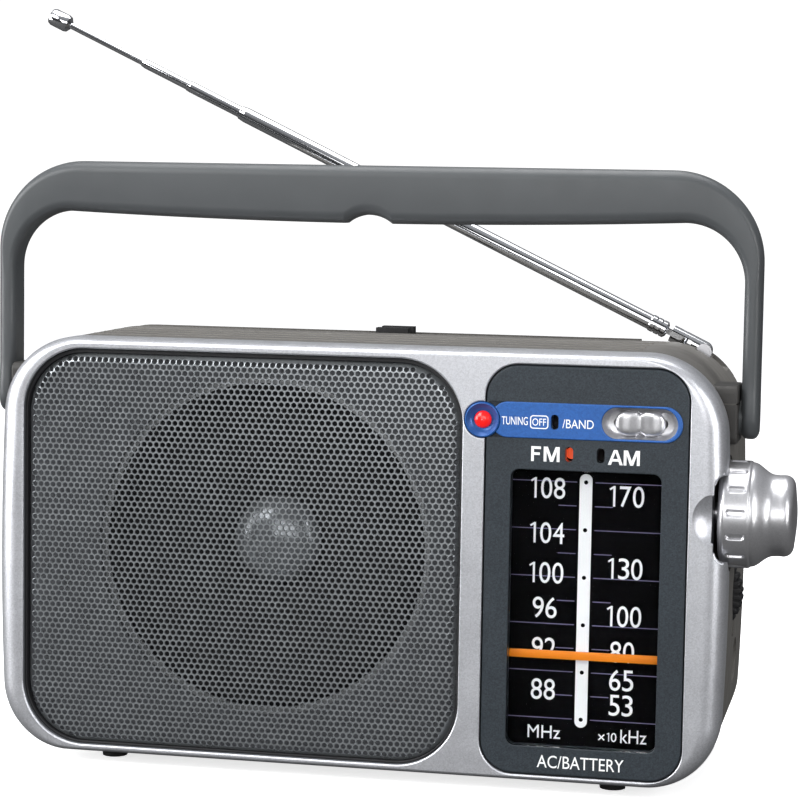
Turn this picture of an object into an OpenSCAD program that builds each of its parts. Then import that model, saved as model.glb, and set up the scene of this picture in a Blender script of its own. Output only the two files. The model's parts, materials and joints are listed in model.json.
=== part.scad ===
// Portable tabletop radio: two-part cabinet, 10 cm speaker, slide-rule dial,
// carrying handle and telescopic aerial. Millimetres, +Z up, front faces -Y.
// The origin is the centre of the cabinet's underside; the feet stand below it.

/* [Cabinet] */
// Width of the cabinet
body_w = 214; // [212:0.5:216]
// Height of the cabinet without its feet
body_h = 122.5; // [122:0.25:123]
// Depth of the cabinet from the front face to the rear face
body_d = 80; // [80:0.5:84]
// Depth of the silver front shell, from its face to the parting line
front_d = 12; // [11:0.5:13]
// Wall thickness of both shells
wall = 2.5; // [2:0.1:2.8]
// Radius of the upper corners
r_top = 22; // [18:1:24]
// Radius of the lower corners
r_bot = 19.5; // [16:0.5:21]
// Height of the feet
foot_h = 3.5; // [2.5:0.1:4]

/* [Speaker] */
// Outer radius of the speaker frame
spk_r = 52; // [51:0.5:53]
// Radius of the opening in the baffle
baffle_r = 49.5; // [46:0.5:50]
// Height that the grille domes out at its centre
dome = 1.6; // [0.5:0.1:2]

/* [Tuning] */
// Radius of the knurled rim of the tuning knob
knob_r = 15.2; // [14:0.1:15.4]
// Number of grooves in the rim of the tuning knob
knob_grooves = 14; // [8:1:20]
// Effective radius of the cord on the tuning shaft
spindle_r = 5; // [4.5:0.1:5.2]
// Effective radius of the cord on the drum
drum_r = 22.6; // [22:0.1:23]

/* [Handle] */
// Half width between the middles of the handle arms
arm_x = 110.9; // [110.8:0.1:111.4]
// Thickness of each arm
arm_t = 5; // [4:0.1:5]
// Depth of the handle, front to back
arm_d = 11; // [9:0.5:12]
// Height of the top of the grip above the underside
grip_top = 173.6; // [170:0.2:178]

/* [Aerial] */
// Angle of the raised aerial above horizontal
aerial_deg = 25.5; // [25:0.1:28]
// Extension of the second section in the stored pose
ext_2 = 19.1; // [12:0.1:24]
// Extension of the third section in the stored pose
ext_3 = 16.4; // [12:0.1:22]
// Extension of the fourth section in the stored pose
ext_4 = 28.1; // [20:0.1:32]

/* [Hidden] */
$fn = 48;
eps = 0.01;
W = body_w / 2;
H = body_h;
yf = -40;                 // front face
yp = yf + front_d;        // parting line between the shells
yr = yf + body_d;         // rear face
mid_z = 58;               // height at which the sides are widest
barrel = 0.00055;         // how quickly the sides pull in above and below that
spk_x = -27; spk_z = 63;  // speaker axis
knob_y = -24; knob_z = 77.3;
vol_x = 96.2; vol_y = -1.5; vol_z = 51; vol_r = 13;
piv_y = -17; piv_z = 104; // handle pivot
grip_h = 16.2;            // height of the grip
ant_y = 29;               // plane of the aerial
el_x = 86.3; el_z = 123.1;      // elbow of the aerial
sw_x = 93.6; sw_z = 119.6;      // swivel screw of the aerial
gx0 = -98.6; gx1 = 32.0; gz0 = 2.6; gz1 = 119.4; gr = 18.5;   // grille opening
px0 = 38.4; px1 = 96.1; pz0 = 2.2; pz1 = 118.9; pr = 9.5;     // dial panel
wx0 = 46; wx1 = 88.5; wz0 = 10.5; wz1 = 89.3;                 // dial window
cord_x = 80;              // plane of the dial cord
drum_y = 6; drum_z = 62;

// ---- shared shapes ----------------------------------------------------------
module box3(a, b) { translate(a) cube([b[0] - a[0], b[1] - a[1], b[2] - a[2]]); }
module ycyl(x, z, r, y0, y1) { translate([x, y0, z]) rotate([-90, 0, 0]) cylinder(r = r, h = y1 - y0); }
module xcyl(y, z, r, x0, x1) { translate([x0, y, z]) rotate([0, 90, 0]) cylinder(r = r, h = x1 - x0); }
module zcyl(x, y, r, z0, z1) { translate([x, y, z0]) cylinder(r = r, h = z1 - z0); }
// a front-view outline given depth from y0 to y1
module slab(y0, y1) { translate([0, y1, 0]) rotate([90, 0, 0]) linear_extrude(y1 - y0) children(); }
// a side-view outline (y, z) given width from x0 to x1
module side(x0, x1) { translate([x0, 0, 0]) rotate([90, 0, 90]) linear_extrude(x1 - x0) children(); }
module rrect(x0, x1, z0, z1, r) {
  translate([x0 + r, z0]) square([x1 - x0 - 2 * r, z1 - z0]);
  translate([x0, z0 + r]) square([x1 - x0, z1 - z0 - 2 * r]);
  for (x = [x0 + r, x1 - r], z = [z0 + r, z1 - r]) translate([x, z]) circle(r);
}
// points of the cabinet outline, pulled in by e all round
function arc(cx, cz, r, a0, a1, n) = [for (i = [0:n]) let (a = a0 + (a1 - a0) * i / n) [cx + r * cos(a), cz + r * sin(a)]];
function bulge(p) = [p[0] - p[0] / W * barrel * pow(p[1] - mid_z, 2), p[1]];
function outline(ex, ez) = let (rt = r_top - (ex + ez) / 2, rb = r_bot - (ex + ez) / 2) [for (p = concat(
    [for (z = [45, 58, 72]) [W - ex, z]],
    arc(W - ex - rt, H - ez - rt, rt, 0, 90, 9),
    arc(-W + ex + rt, H - ez - rt, rt, 90, 180, 9),
    [for (z = [72, 58, 45]) [-W + ex, z]],
    arc(-W + ex + rb, ez + rb, rb, 180, 270, 9),
    arc(W - ex - rb, ez + rb, rb, 270, 360, 9))) bulge(p)];
module body_slab(y0, y1, ex, ez) { slab(y0, y1) polygon(outline(ex, ez)); }

// ---- cabinet ----------------------------------------------------------------
module front_skin() {
  hull() {
    body_slab(yf, yf + eps, 6.5, 1.7);
    body_slab(yf + 0.6, yf + 0.6 + eps, 3.9, 0.8);
    body_slab(yf + 1.6, yf + 1.6 + eps, 2.3, 0.35);
    body_slab(yf + 3.2, yf + 3.2 + eps, 0.9, 0.05);
    body_slab(yf + 5.4, yp, 0, 0);
  }
}
module knob_recess() {
  xcyl(knob_y, knob_z, 16.6, W - 4.6, W + 10);
}
// notch in the front face beside the knob, with a shallow finger dish
module knob_notch() {
  slab(yf - 1, yf + 6) rrect(102.6, W + 10, knob_z - 12.3, knob_z + 12.3, 2.6);
  translate([105.1, yf - 8.36, knob_z]) sphere(r = 11.5, $fn = 72);
}
module knob_well() {
  intersection() {
    xcyl(knob_y, knob_z, 18.6, W - 6.8, W - 1);
    body_slab(yf + 1, yr - 2, 0.8, 1);
  }
}
module front_cabinet() {
  color([0.78, 0.79, 0.81]) difference() {
    union() {
      difference() {
        front_skin();
        body_slab(yf + 6, yp + 1, wall, wall);
      }
      // speaker baffle and its rim
      slab(yf + 4.6, yf + 6.6) rrect(-101, 34.6, 2.5, H - 2.5, 18);
      // screw bosses that meet the rear wells
      for (x = [-97, 97], z = [16, 92]) ycyl(x, z, 4, yf + 5, yp + 12);
      difference() {
        knob_well();
        box3([W - 20, yp, 40], [W + 20, yr, 110]);
      }
    }
    slab(yf - 1, yf + 4.6) rrect(gx0, gx1, gz0, gz1, gr);
    ycyl(spk_x, spk_z, baffle_r, yf - 1, yf + 10);
    slab(yf - 1, yf + 3) rrect(px0, px1, pz0, pz1, pr);
    slab(yf - 1, yf + 12) rrect(px0 + 3, px1 - 3, pz0 + 3, pz1 - 3, 6.5);
    ycyl(37.6, 102.9, 5.2, yf - 1, yf + 3);
    ycyl(37.6, 102.9, 2.1, yf + 2, yf + 7);
    knob_recess();
    knob_notch();
    for (x = [-97, 97], z = [16, 92]) ycyl(x, z, 1.3, yf + 6, yp + 13);
    for (a = [45:90:315]) ycyl(spk_x + 55.5 * cos(a), spk_z + 55.5 * sin(a), 1.2, yf + 5, yf + 8);
  }
}
module door_gap(g) { box3([-62 - g, yr - 3.2, 9.9 - g], [56 + g, yr + 1, 50 + g]); }
module rear_cabinet() {
  color([0.30, 0.29, 0.28]) difference() {
    union() {
      difference() {
        hull() {
          body_slab(yp + 0.02, yr - 7, 0.4, 0.1);
          body_slab(yr - 3.4, yr - 3.4 + eps, 1.3, 0.9);
          body_slab(yr - 1.2, yr - 1.2 + eps, 2.8, 2.3);
          body_slab(yr - eps, yr, 5.2, 4.6);
        }
        hull() {
          body_slab(yp - 1, yr - 7, wall + 0.4, wall + 0.1);
          body_slab(yr - wall - eps, yr - wall, wall + 4.4, wall + 4);
        }
      }
      // shoulders that carry the handle pivots
      for (s = [-1, 1]) box3([s > 0 ? 99.6 : -107.9, piv_y - 9, 96.9], [s > 0 ? 107.9 : -99.6, piv_y + 9, 113.5]);
      // rear screw wells
      for (x = [-97, 97], z = [16, 92]) ycyl(x, z, 4.6, yp + 12.02, yr - 1);
      // trough for the folded aerial
      intersection() {
        box3([-110, 19.5, 111.6], [110, yr - 1, 122]);
        body_slab(0, yr, 1, 0.6);
      }
      difference() {
        knob_well();
        box3([W - 20, yf - 1, 40], [W + 20, yp + 0.02, 110]);
      }
      // ribs along the top
      for (y = [-20.5, -11, -1.5, 8]) box3([-84, y, H - 1], [80, y + 0.9, H + 0.25]);
      // housing behind the earphone recess
      box3([94, -2, 20], [105.5, 20, 38]);
      // housing behind the mains inlet
      box3([66, yr - 14, 11], [92, yr - 1, 29]);
    }
    // bearing holes of the handle
    for (s = [-1, 1]) xcyl(piv_y, piv_z, 5.05, s > 0 ? 96 : -110, s > 0 ? 110 : -96);
    knob_recess();
    xcyl(knob_y, knob_z, 3.06, W - 16, W + 2);
    for (x = [-97, 97], z = [16, 92]) ycyl(x, z, 4.3, yp - 1, yp + 12.02);
    // slot for the volume wheel, with a thumb scoop
    box3([vol_x + 3, vol_y - 3.6, vol_z - 12.6], [W + 2, vol_y + 3.6, vol_z + 12.6]);
    translate([W + 12.4, vol_y, vol_z]) sphere(r = 14.6);
    // aerial trough, open at the top, and the pocket of its swivel
    difference() {
      union() {
        box3([-110, 22.5, 114], [101, 35.5, H + 2]);
        ycyl(101, 120.5, 6.5, 22.5, 35.5);
      }
      // posts that carry the swivel
      ycyl(sw_x, sw_z, 2.9, 20, 26.1);
      ycyl(sw_x, sw_z, 2.9, 31.9, 37);
    }
    // notch that lets the aerial lean back over the rear edge
    box3([73, 30, 119.2], [89.4, yr + 1, H + 2]);
    ycyl(sw_x, sw_z, 1.3, 20, 38);
    ycyl(sw_x, sw_z, 2.6, 18, 23.9);
    // screws of the back
    for (x = [-97, 97], z = [16, 92]) {
      ycyl(x, z, 1.9, yp + 10, yr + 1);
      ycyl(x, z, 3.5, yp + 15, yr + 1);
    }
    // opening of the battery bay and its door frame
    box3([-62, yr - 6, 11.6], [56, yr + 1, 48.2]);
    door_gap(0.35);
    for (s = [-1, 1]) xcyl(yr - 1.4, 11.4, 0.95, s > 0 ? 56 : -66, s > 0 ? 60 : -62);
    // earphone recess and mains inlet
    translate([0, 9, 29]) xcyl(0, 0, 7, W - 2.6, W + 4);
    xcyl(9, 29, 3.9, 92, W + 4);
    slab(yr - 15, yr + 1) rrect(69, 89, 14, 26, 2);
    // sound and heat slots in the back
    for (i = [0:10]) box3([-80 + i * 12, yr - 4, 62], [-78 + i * 12, yr + 1, 84]);
    // handle retainers need room inside the shoulders
    for (s = [-1, 1]) xcyl(piv_y, piv_z, 8.4, s > 0 ? 92 : -102, s > 0 ? 102 : -92);
    for (x = [-75, 75], y = [-24.6, 24]) zcyl(x, y, 3.05, -1, 1.4);
  }
}
// battery compartment, a tray fixed to the inside of the back
module battery_case() {
  color([0.12, 0.12, 0.12]) difference() {
    box3([-64.4, yr - 20.5, 9], [58.4, yr - wall - 0.9, 51.2]);
    box3([-62, yr - 18.5, 11.6], [56, yr, 48.2]);
    // ribs between the two rows of cells leave their ends open
    box3([-50, yr - 19.2, 14], [-42, yr - 17, 46]);
    box3([36, yr - 19.2, 14], [44, yr - 17, 46]);
  }
}
module feet() {
  color([0.06, 0.06, 0.06]) for (x = [-75, 75], y = [-24.6, 24]) translate([x, y, 0]) {
    translate([0, 0, -foot_h]) cylinder(r1 = 3.7, r2 = 4, h = foot_h - 0.05);
    translate([0, 0, -0.05]) cylinder(r = 3, h = 1.3);
  }
}

// ---- front of the radio -----------------------------------------------------
function dome_pts(n, f) = [for (i = [0:n]) let (t = i / n) [f + 68 * t, dome * (1 - t * t)]];
module grille_outline(g) { rrect(gx0 + g, gx1 - g, gz0 + g, gz1 - g, gr - g); }
module speaker_grille() {
  // plain domed sheet; the perforation does not change its envelope
  color([0.34, 0.36, 0.38]) intersection() {
    slab(yf - 4, yf + 6) grille_outline(1.5);
    translate([-33, yf + 2.2, 61]) rotate([90, 0, 0]) difference() {
      rotate_extrude($fn = 96) polygon(concat([[0, -0.6]], [[100, -0.6]], [for (i = [10:-1:0]) [100 * i / 10, 0.2 + dome * (1 - pow(min(1, i / 8.6), 2))]]));
      translate([0, 0, -1]) cylinder(r = 0.6, h = 4);
    }
  }
}
module grille_gasket() {
  color([0.03, 0.03, 0.03]) slab(yf + 0.9, yf + 4.58) difference() {
    grille_outline(0.05);
    grille_outline(1.4);
  }
}
module dial_bezel() {
  color([0.20, 0.22, 0.25]) difference() {
    union() {
      slab(yf + 0.3, yf + 2.95) rrect(px0 + 0.35, px1 - 0.35, pz0 + 0.35, pz1 - 0.35, pr - 0.35);
      slab(yf + 2.95, yf + 4.2) rrect(px0 + 3.4, px1 - 3.4, pz0 + 3.4, pz1 - 3.4, 6.1);
    }
    slab(yf, yf + 5) rrect(wx0, wx1, wz0, wz1, 2.5);
    slab(yf, yf + 1.3) { rrect(38, 94.1, 98.1, 108.3, 5.05); translate([37.6, 102.9]) circle(5.45); }
    slab(yf, yf + 5) rrect(71.4, 92.6, 98.8, 107.6, 4.39);
    ycyl(37.6, 102.9, 5.15, yf, yf + 5);
    for (p = [[58.2, 102.9], [62.4, 93.9], [71.3, 93.9]]) slab(yf, yf + 5) rrect(p[0] - 1.1, p[0] + 1.1, p[1] - 2.1, p[1] + 2.1, 1.09);
  }
}
module dial_window() {
  color([0.8, 0.85, 0.9, 0.25]) slab(yf + 0.6, yf + 1.8) rrect(wx0 + 0.05, wx1 - 0.05, wz0 + 0.05, wz1 - 0.05, 2.45);
}
module dial_scale() {
  color([0.02, 0.02, 0.02]) {
    slab(yf + 6.4, yf + 7.4) rrect(wx0 - 1.2, wx1 + 1.2, wz0 - 3, wz1 + 1.6, 1.5);
    // light guide of the centre strip
    slab(yf + 6.1, yf + 6.4) rrect(64.8, 68.4, 15.4, 88, 1.79);
    // ears that seat on the back of the bezel
    for (x = [50, 72]) box3([x, yf + 4.2, 5.9], [x + 8, yf + 7.4, 8.2]);
    box3([42.4, yf + 4.2, 76], [45, yf + 7.4, 84]);
  }
}
// sheet-metal frame that carries the pulleys, the pointer rail and the tuning shaft
module dial_frame() {
  color([0.72, 0.72, 0.70]) difference() {
    union() {
      box3([91.6, yf + 11.8, 4.4], [92.6, yf + 19.6, 97.6]);
      for (z = [4.4, 96.6]) box3([83, yf + 6.02, z], [92.6, yf + 19.6, z + 1]);
    }
    xcyl(knob_y, knob_z, 3.05, 90, 94);
  }
}
module pointer_rail() { color([0.80, 0.80, 0.80]) zcyl(86, yf + 10.2, 1, 5.4, 96.6); }
module dial_pointer() {
  color([0.95, 0.50, 0.12]) difference() {
    union() {
      box3([wx0 - 0.4, yf + 4.6, 35.1], [91.2, yf + 5.4, 37.4]);
      box3([90.3, yf + 4.6, 35.1], [91.2, yf + 9.2, 37.4]);
      box3([83.6, yf + 8, 35.1], [91.2, yf + 9.2, 37.4]);
      box3([83.6, yf + 8, 32.3], [88.4, yf + 12.4, 40.3]);
      // arm that holds the cord
      box3([79.2, yf + 7.9, 35.1], [84, yf + 8.7, 37.4]);
    }
    zcyl(86, yf + 10.2, 1.06, 30, 45);
  }
}
module band_strip() {
  color([0.17, 0.42, 0.72]) difference() {
    slab(yf + 0.1, yf + 1.28) rrect(43.4, 94.05, 98.15, 108.25, 5);
    slab(yf, yf + 5) rrect(71.4, 92.6, 98.8, 107.6, 4.39);
    ycyl(37.6, 102.9, 5.2, yf, yf + 5);
    slab(yf, yf + 5) rrect(57.1, 59.3, 100.8, 105, 1.09);
  }
}
module lamp_ring() {
  color([0.15, 0.38, 0.68]) translate([37.6, yf + 2.95, 102.9]) rotate([90, 0, 0]) rotate_extrude()
    polygon([[2.5, 0], [5.1, 0], [5.1, 2.6], [4.9, 3.0], [4.6, 3.1], [4.2, 2.7], [3.3, 1.9], [2.5, 1.6]]);
}
module lamp_lens() {
  color([0.9, 0.10, 0.10]) translate([37.6, yf + 2.95, 102.9]) rotate([90, 0, 0]) rotate_extrude()
    polygon([[0, 0], [2.45, 0], [2.45, 1.8], [2.0, 2.5], [1.2, 2.9], [0, 3.0]]);
}
module tuning_led() {
  color([0.8, 0.15, 0.15]) {
    ycyl(37.6, 102.9, 1.5, yf + 3, yf + 8);
    ycyl(37.6, 102.9, 1.9, yf + 8, yf + 9);
    for (x = [-1.27, 0.77]) box3([37.6 + x, yf + 9, 102.6], [37.9 + x, yf + 22, 103.1]);
  }
}
module band_windows() {
  color([0.10, 0.10, 0.12, 0.6]) for (p = [[58.2, 102.9], [62.4, 93.9], [71.3, 93.9]])
    slab(yf + 1.5, yf + 2.6) rrect(p[0] - 1.05, p[0] + 1.05, p[1] - 2.05, p[1] + 2.05, 1.04);
}
module band_switch_knob() {
  color([0.80, 0.80, 0.83]) {
    // two-humped thumb piece
    difference() {
      slab(yf + 0.4, yf + 3.4) rrect(74.9, 89.1, 99.7, 106.7, 3.49);
      translate([82, yf - 2.6, 95]) cylinder(r = 3.7, h = 16);
    }
    box3([77.2, yf + 3.4, 100.8], [86.8, yf + 4.6, 105.6]);
    box3([80.2, yf + 4.6, 101.6], [83.8, yf + 12, 104.8]);
  }
}
module band_flag() {
  color([0.85, 0.20, 0.08]) {
    box3([55, yf + 5, 91.9], [83.4, yf + 5.8, 95.6]);
    box3([57, yf + 5, 95.6], [66.4, yf + 5.8, 104.9]);
    for (p = [[61.4, 102.9], [62.4, 93.9], [68.1, 93.9]]) slab(yf + 4.5, yf + 5) rrect(p[0] - 1.3, p[0] + 1.3, p[1] - 1.6, p[1] + 1.6, 1.29);
    box3([78.6, yf + 5, 95.5], [80.2, yf + 5.8, 104.8]);
  }
}
module band_switch_body() {
  color([0.6, 0.6, 0.58]) difference() {
    box3([69.4, yf + 11.4, 98.6], [94.2, yf + 18, 107.8]);
    box3([75, yf + 11, 101], [89, yf + 14, 105.4]);
  }
  color([0.75, 0.7, 0.5]) for (i = [0:5]) box3([71.6 + i * 4, yf + 17.9, 101], [72.4 + i * 4, yf + 21, 101.8]);
  color([0.6, 0.6, 0.58]) box3([81, yf + 14.6, 107.7], [83, yf + 18, 111]);
}

// ---- tuning drive -----------------------------------------------------------
module tuning_knob() {
  color([0.80, 0.80, 0.82]) translate([0, knob_y, knob_z]) rotate([0, 90, 0]) difference() {
    rotate_extrude($fn = 96) polygon([[3.05, W - 3.2], [13.6, W - 3.2], [14.6, W - 2.4], [knob_r, W - 1.6], [knob_r, W + 5.2],
      [14.6, W + 6.2], [13.4, W + 7.2], [12.4, W + 8.6], [11.8, W + 10.4], [11.5, W + 12.4], [11.5, W + 16.2],
      [11.0, W + 17.2], [9.8, W + 17.8], [6, W + 18.2], [0, W + 18.3], [0, W + 6], [3.05, W + 6]]);
    for (i = [0:knob_grooves - 1]) rotate([0, 0, i * 360 / knob_grooves + 6]) translate([knob_r + 0.35, 0, W - 1]) cylinder(r = 0.95, h = 7, $fn = 16);
  }
}
module tuning_shaft() {
  color([0.70, 0.70, 0.70]) {
    xcyl(knob_y, knob_z, 3, 74, W + 6);
    xcyl(knob_y, knob_z, spindle_r + 1, cord_x - 3.2, cord_x - 2);
    xcyl(knob_y, knob_z, spindle_r + 1, cord_x + 2, cord_x + 3.2);
    xcyl(knob_y, knob_z, spindle_r - 0.65, cord_x - 2, cord_x + 2);
  }
}
module cord_drum() {
  color([0.85, 0.85, 0.80]) difference() {
    union() {
      for (x = [cord_x - 2.4, cord_x + 1.2]) xcyl(drum_y, drum_z, drum_r + 1, x, x + 1.2);
      xcyl(drum_y, drum_z, drum_r - 0.8, cord_x - 1.3, cord_x + 1.3);
      xcyl(drum_y, drum_z, 5, cord_x - 5, cord_x + 2.4);
    }
    xcyl(drum_y, drum_z, 1.5, cord_x - 6, cord_x + 6);
    for (a = [0:60:300]) xcyl(drum_y + 13 * cos(a), drum_z + 13 * sin(a), 4, cord_x - 6, cord_x + 6);
  }
  // shaft of the capacitor, pressed into the drum
  color([0.8, 0.7, 0.4]) xcyl(drum_y, drum_z, 1.5, 63, cord_x + 2.4);
}
// pulley centres: top and bottom of the pointer's run
pul = [[-26.6, 92.2], [-26.6, 9.6]];
module cord_pulleys() {
  color([0.9, 0.9, 0.88]) for (p = pul) {
    xcyl(p[0], p[1], 3.4, cord_x - 1.6, cord_x + 1.6);
    for (x = [cord_x - 2.4, cord_x + 1.6]) xcyl(p[0], p[1], 4.6, x, x + 0.8);
    // axle, riveted to the frame
    xcyl(p[0], p[1], 1.2, cord_x + 2.3, 91.6);
  }
}
module cord_loop(g) {
  hull() {
    for (p = pul) translate(p) circle(3.4 + g);
    translate([drum_y, drum_z]) circle(drum_r - 0.8 + g);
  }
}
module dial_cord() {
  color([0.85, 0.82, 0.70]) side(cord_x - 0.4, cord_x + 0.4) difference() { cord_loop(0.95); cord_loop(0.35); }
}
module tuning_capacitor() {
  color([0.88, 0.88, 0.84]) difference() {
    box3([62, drum_y - 10, drum_z - 10], [73.4, drum_y + 10, drum_z + 10]);
    xcyl(drum_y, drum_z, 1.56, 61, 75);
  }
  color([0.8, 0.7, 0.4]) for (z = [-6, 0, 6]) box3([66, drum_y + 9.9, drum_z + z], [67, drum_y + 10.2, drum_z + z + 0.6]);
}
module volume_wheel() {
  color([0.10, 0.10, 0.10]) difference() {
    union() {
      ycyl(vol_x, vol_z, vol_r - 0.5, vol_y - 3, vol_y + 3);
      ycyl(vol_x, vol_z, vol_r, vol_y - 2.4, vol_y + 2.4);
      ycyl(vol_x, vol_z, 3, vol_y + 3, vol_y + 9);
    }
    for (i = [0:35]) rotate_at(vol_x, vol_z, i * 10) translate([vol_x + vol_r + 0.2, vol_y - 4, vol_z]) rotate([-90, 0, 0]) cylinder(r = 0.55, h = 8, $fn = 14);
  }
}
module rotate_at(x, z, a) { translate([x, 0, z]) rotate([0, a, 0]) translate([-x, 0, -z]) children(); }
module volume_control() {
  color([0.35, 0.35, 0.35]) difference() {
    ycyl(vol_x, vol_z, 7.6, vol_y + 4, vol_y + 11.4);
    ycyl(vol_x, vol_z, 3.07, vol_y + 3, vol_y + 9.4);
  }
  color([0.8, 0.7, 0.4]) for (x = [-5, 0, 5]) box3([vol_x + x - 0.5, vol_y + 8, vol_z - 12.5], [vol_x + x + 0.5, vol_y + 8.6, vol_z - 7]);
}

// ---- handle -----------------------------------------------------------------
function grip_under(x) = grip_top - grip_h - 0.6 + 1.5 * pow(x / 80, 2);
module handle_front_view() {
  xo = arm_x + arm_t / 2; xi = arm_x - arm_t / 2;
  difference() {
    union() {
      translate([-xo, piv_z]) square([2 * xo, grip_top - 26 - piv_z]);
      translate([-xo + 26, piv_z]) square([2 * xo - 52, grip_top - piv_z]);
      for (s = [-1, 1]) translate([s * (xo - 26), grip_top - 26]) circle(26, $fn = 96);
    }
    polygon(concat([[-xi, piv_z - 1], [xi, piv_z - 1]],
      arc(xi - 17, grip_under(xi - 17) - 17, 17, 0, 90, 10),
      [for (i = [9:-1:-9]) let (x = i * (xi - 17) / 10) [x, grip_under(x)]],
      arc(-xi + 17, grip_under(xi - 17) - 17, 17, 90, 180, 10)));
    // shallow notch in the middle of the grip's lower edge
    translate([-0.5, grip_top - grip_h - 9.1]) circle(r = 11, $fn = 96);
  }
}
module handle() {
  color([0.34, 0.35, 0.36]) {
    slab(piv_y - arm_d / 2, piv_y + arm_d / 2) handle_front_view();
    for (s = [-1, 1]) {
      xcyl(piv_y, piv_z, arm_d / 2 + 0.6, s > 0 ? arm_x - arm_t / 2 : -arm_x - arm_t / 2, s > 0 ? arm_x + arm_t / 2 : -arm_x + arm_t / 2);
      // bearing stub in the cabinet's shoulder
      xcyl(piv_y, piv_z, 5, s > 0 ? 101.6 : -arm_x, s > 0 ? arm_x : -101.6);
    }
  }
}
module handle_retainers() {
  color([0.7, 0.7, 0.7]) for (s = [-1, 1]) {
    xcyl(piv_y, piv_z, 7.6, s > 0 ? 100 : -101.6, s > 0 ? 101.6 : -100);
    xcyl(piv_y, piv_z, 3, s > 0 ? 97.8 : -100, s > 0 ? 100 : -97.8);
  }
}

// ---- aerial -----------------------------------------------------------------
// children are drawn along +X from the elbow, then laid along the aerial
module along() { translate([el_x, ant_y, el_z]) rotate([0, 180 + aerial_deg, 0]) children(); }
module tube(ro, ri, s0, s1) { along() translate([s0, 0, 0]) rotate([0, 90, 0]) difference() { cylinder(r = ro, h = s1 - s0); if (ri > 0) translate([0, 0, -1]) cylinder(r = ri, h = s1 - s0 + 2); } }
s1 = 154.4; s2 = s1 + ext_2; s3 = s2 + ext_3; s4 = s3 + ext_4;
module antenna_base() {
  color([0.8, 0.8, 0.82]) difference() {
    along() {
      // round-nosed swivel with a fork for the elbow
      rotate([0, 90, 0]) translate([0, 0, -7.6]) cylinder(r = 2.6, h = 11);
      translate([-7.6, 0, 0]) sphere(r = 2.6);
    }
    along() translate([-3.4, -4, -0.86]) cube([10, 8, 1.72]);
    along() translate([0, 0, -5]) cylinder(r = 0.85, h = 10);
    ycyl(sw_x, sw_z, 1.3, ant_y - 4, ant_y + 4);
  }
}
module antenna_elbow_pin() { color([0.7, 0.7, 0.7]) along() translate([0, 0, -2.5]) cylinder(r = 0.85, h = 5); }
module antenna_pivot_screw() {
  color([0.7, 0.7, 0.7]) {
    ycyl(sw_x, sw_z, 1.24, 23, 37.2);
    ycyl(sw_x, sw_z, 2.4, 22, 23.8);
  }
}
module antenna_tube_1() {
  color([0.85, 0.85, 0.87]) {
    along() difference() {
      union() {
        translate([0, -1.9, -0.8]) cube([5.4, 3.8, 1.6]);
        translate([0, 0, -0.8]) cylinder(r = 1.9, h = 1.6);
      }
      translate([0, 0, -3]) cylinder(r = 0.91, h = 6);
    }
    // ringed end piece
    along() translate([5, 0, 0]) rotate([0, 90, 0]) rotate_extrude() polygon([[0, 0], [1.8, 0], [2.6, 0.6], [2.6, 1.8], [2.3, 2.1], [2.6, 2.4], [2.6, 3.6], [2.3, 3.9], [2.6, 4.2], [2.6, 5.4], [2.35, 5.8], [2.35, 7.2], [0, 7.2]]);
    tube(2.35, 1.80, 12, s1 - 2);
    along() translate([s1 - 2, 0, 0]) rotate([0, 90, 0]) rotate_extrude() polygon([[1.80, 0], [2.35, 0], [2.1, 2], [1.80, 2]]);
  }
}
module section(ro, ri, s0, s1) {
  tube(ro, ri, s0, s1 - 1.5);
  along() translate([s1 - 1.5, 0, 0]) rotate([0, 90, 0]) rotate_extrude() polygon([[ri, 0], [ro, 0], [(ro + ri) / 2, 1.5], [ri, 1.5]]);
}
module antenna_tube_2() { color([0.85, 0.85, 0.87]) section(1.75, 1.50, s2 - 138, s2); }
module antenna_tube_3() { color([0.85, 0.85, 0.87]) section(1.45, 1.05, s3 - 134, s3); }
module antenna_rod_4() { color([0.85, 0.85, 0.87]) tube(1.0, 0, s4 - 130, s4); }
module antenna_tip() {
  color([0.85, 0.85, 0.87]) along() translate([s4, 0, 0]) rotate([0, 90, 0]) rotate_extrude() polygon([[1, -1.6], [1.4, -1.6], [2.5, -0.8], [2.75, 0], [2.75, 4.6], [2.4, 5.4], [0, 5.6], [0, 0], [1, 0]]);
}
module antenna_clip() {
  color([0.10, 0.10, 0.10]) difference() {
    box3([-7.5, 23, 114.02], [2.7, 35, 124]);
    box3([-8, 26.4, 117.2], [4, 31.6, 126]);
    xcyl(ant_y, 119.6, 2.75, -8, 4);
  }
}

// ---- battery bay ------------------------------------------------------------
module battery_door() {
  color([0.30, 0.29, 0.28]) {
    box3([-61.7, yr - 2.6, 11.4], [55.7, yr - 0.2, 49.8]);
    xcyl(yr - 1.4, 11.4, 1.2, -61.7, 55.7);
    for (s = [-1, 1]) xcyl(yr - 1.4, 11.4, 0.88, s > 0 ? 55.6 : -64.4, s > 0 ? 58.4 : -61.6);
    // grip lines
    for (i = [0:3]) box3([-14, yr - 0.4, 40 + i * 2], [8, yr + 0.1, 40.9 + i * 2]);
  }
}
module coil(x, y, z, s) {
  for (i = [0:3]) translate([x + s * i * 1.7, y, z]) rotate([0, 90, 0]) rotate_extrude() translate([4.6 - i * 0.7, 0]) circle(r = 0.45, $fn = 14);
  box3([min(x, x + s * 5.2) , y - 0.5, z - 5], [max(x, x + s * 5.2), y + 0.5, z - 2.4]);
}
module battery_springs() { color([0.8, 0.8, 0.78]) { coil(-61.1, yr - 10.6, 20.6, 1); coil(55.1, yr - 10.6, 39, -1); } }
module battery_plates() {
  color([0.8, 0.8, 0.78]) {
    for (z = [20.6, 39]) { box3([-61.98, yr - 16, z - 6], [-61.6, yr - 5, z + 6]); box3([55.6, yr - 16, z - 6], [55.98, yr - 5, z + 6]); }
  }
}

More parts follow.
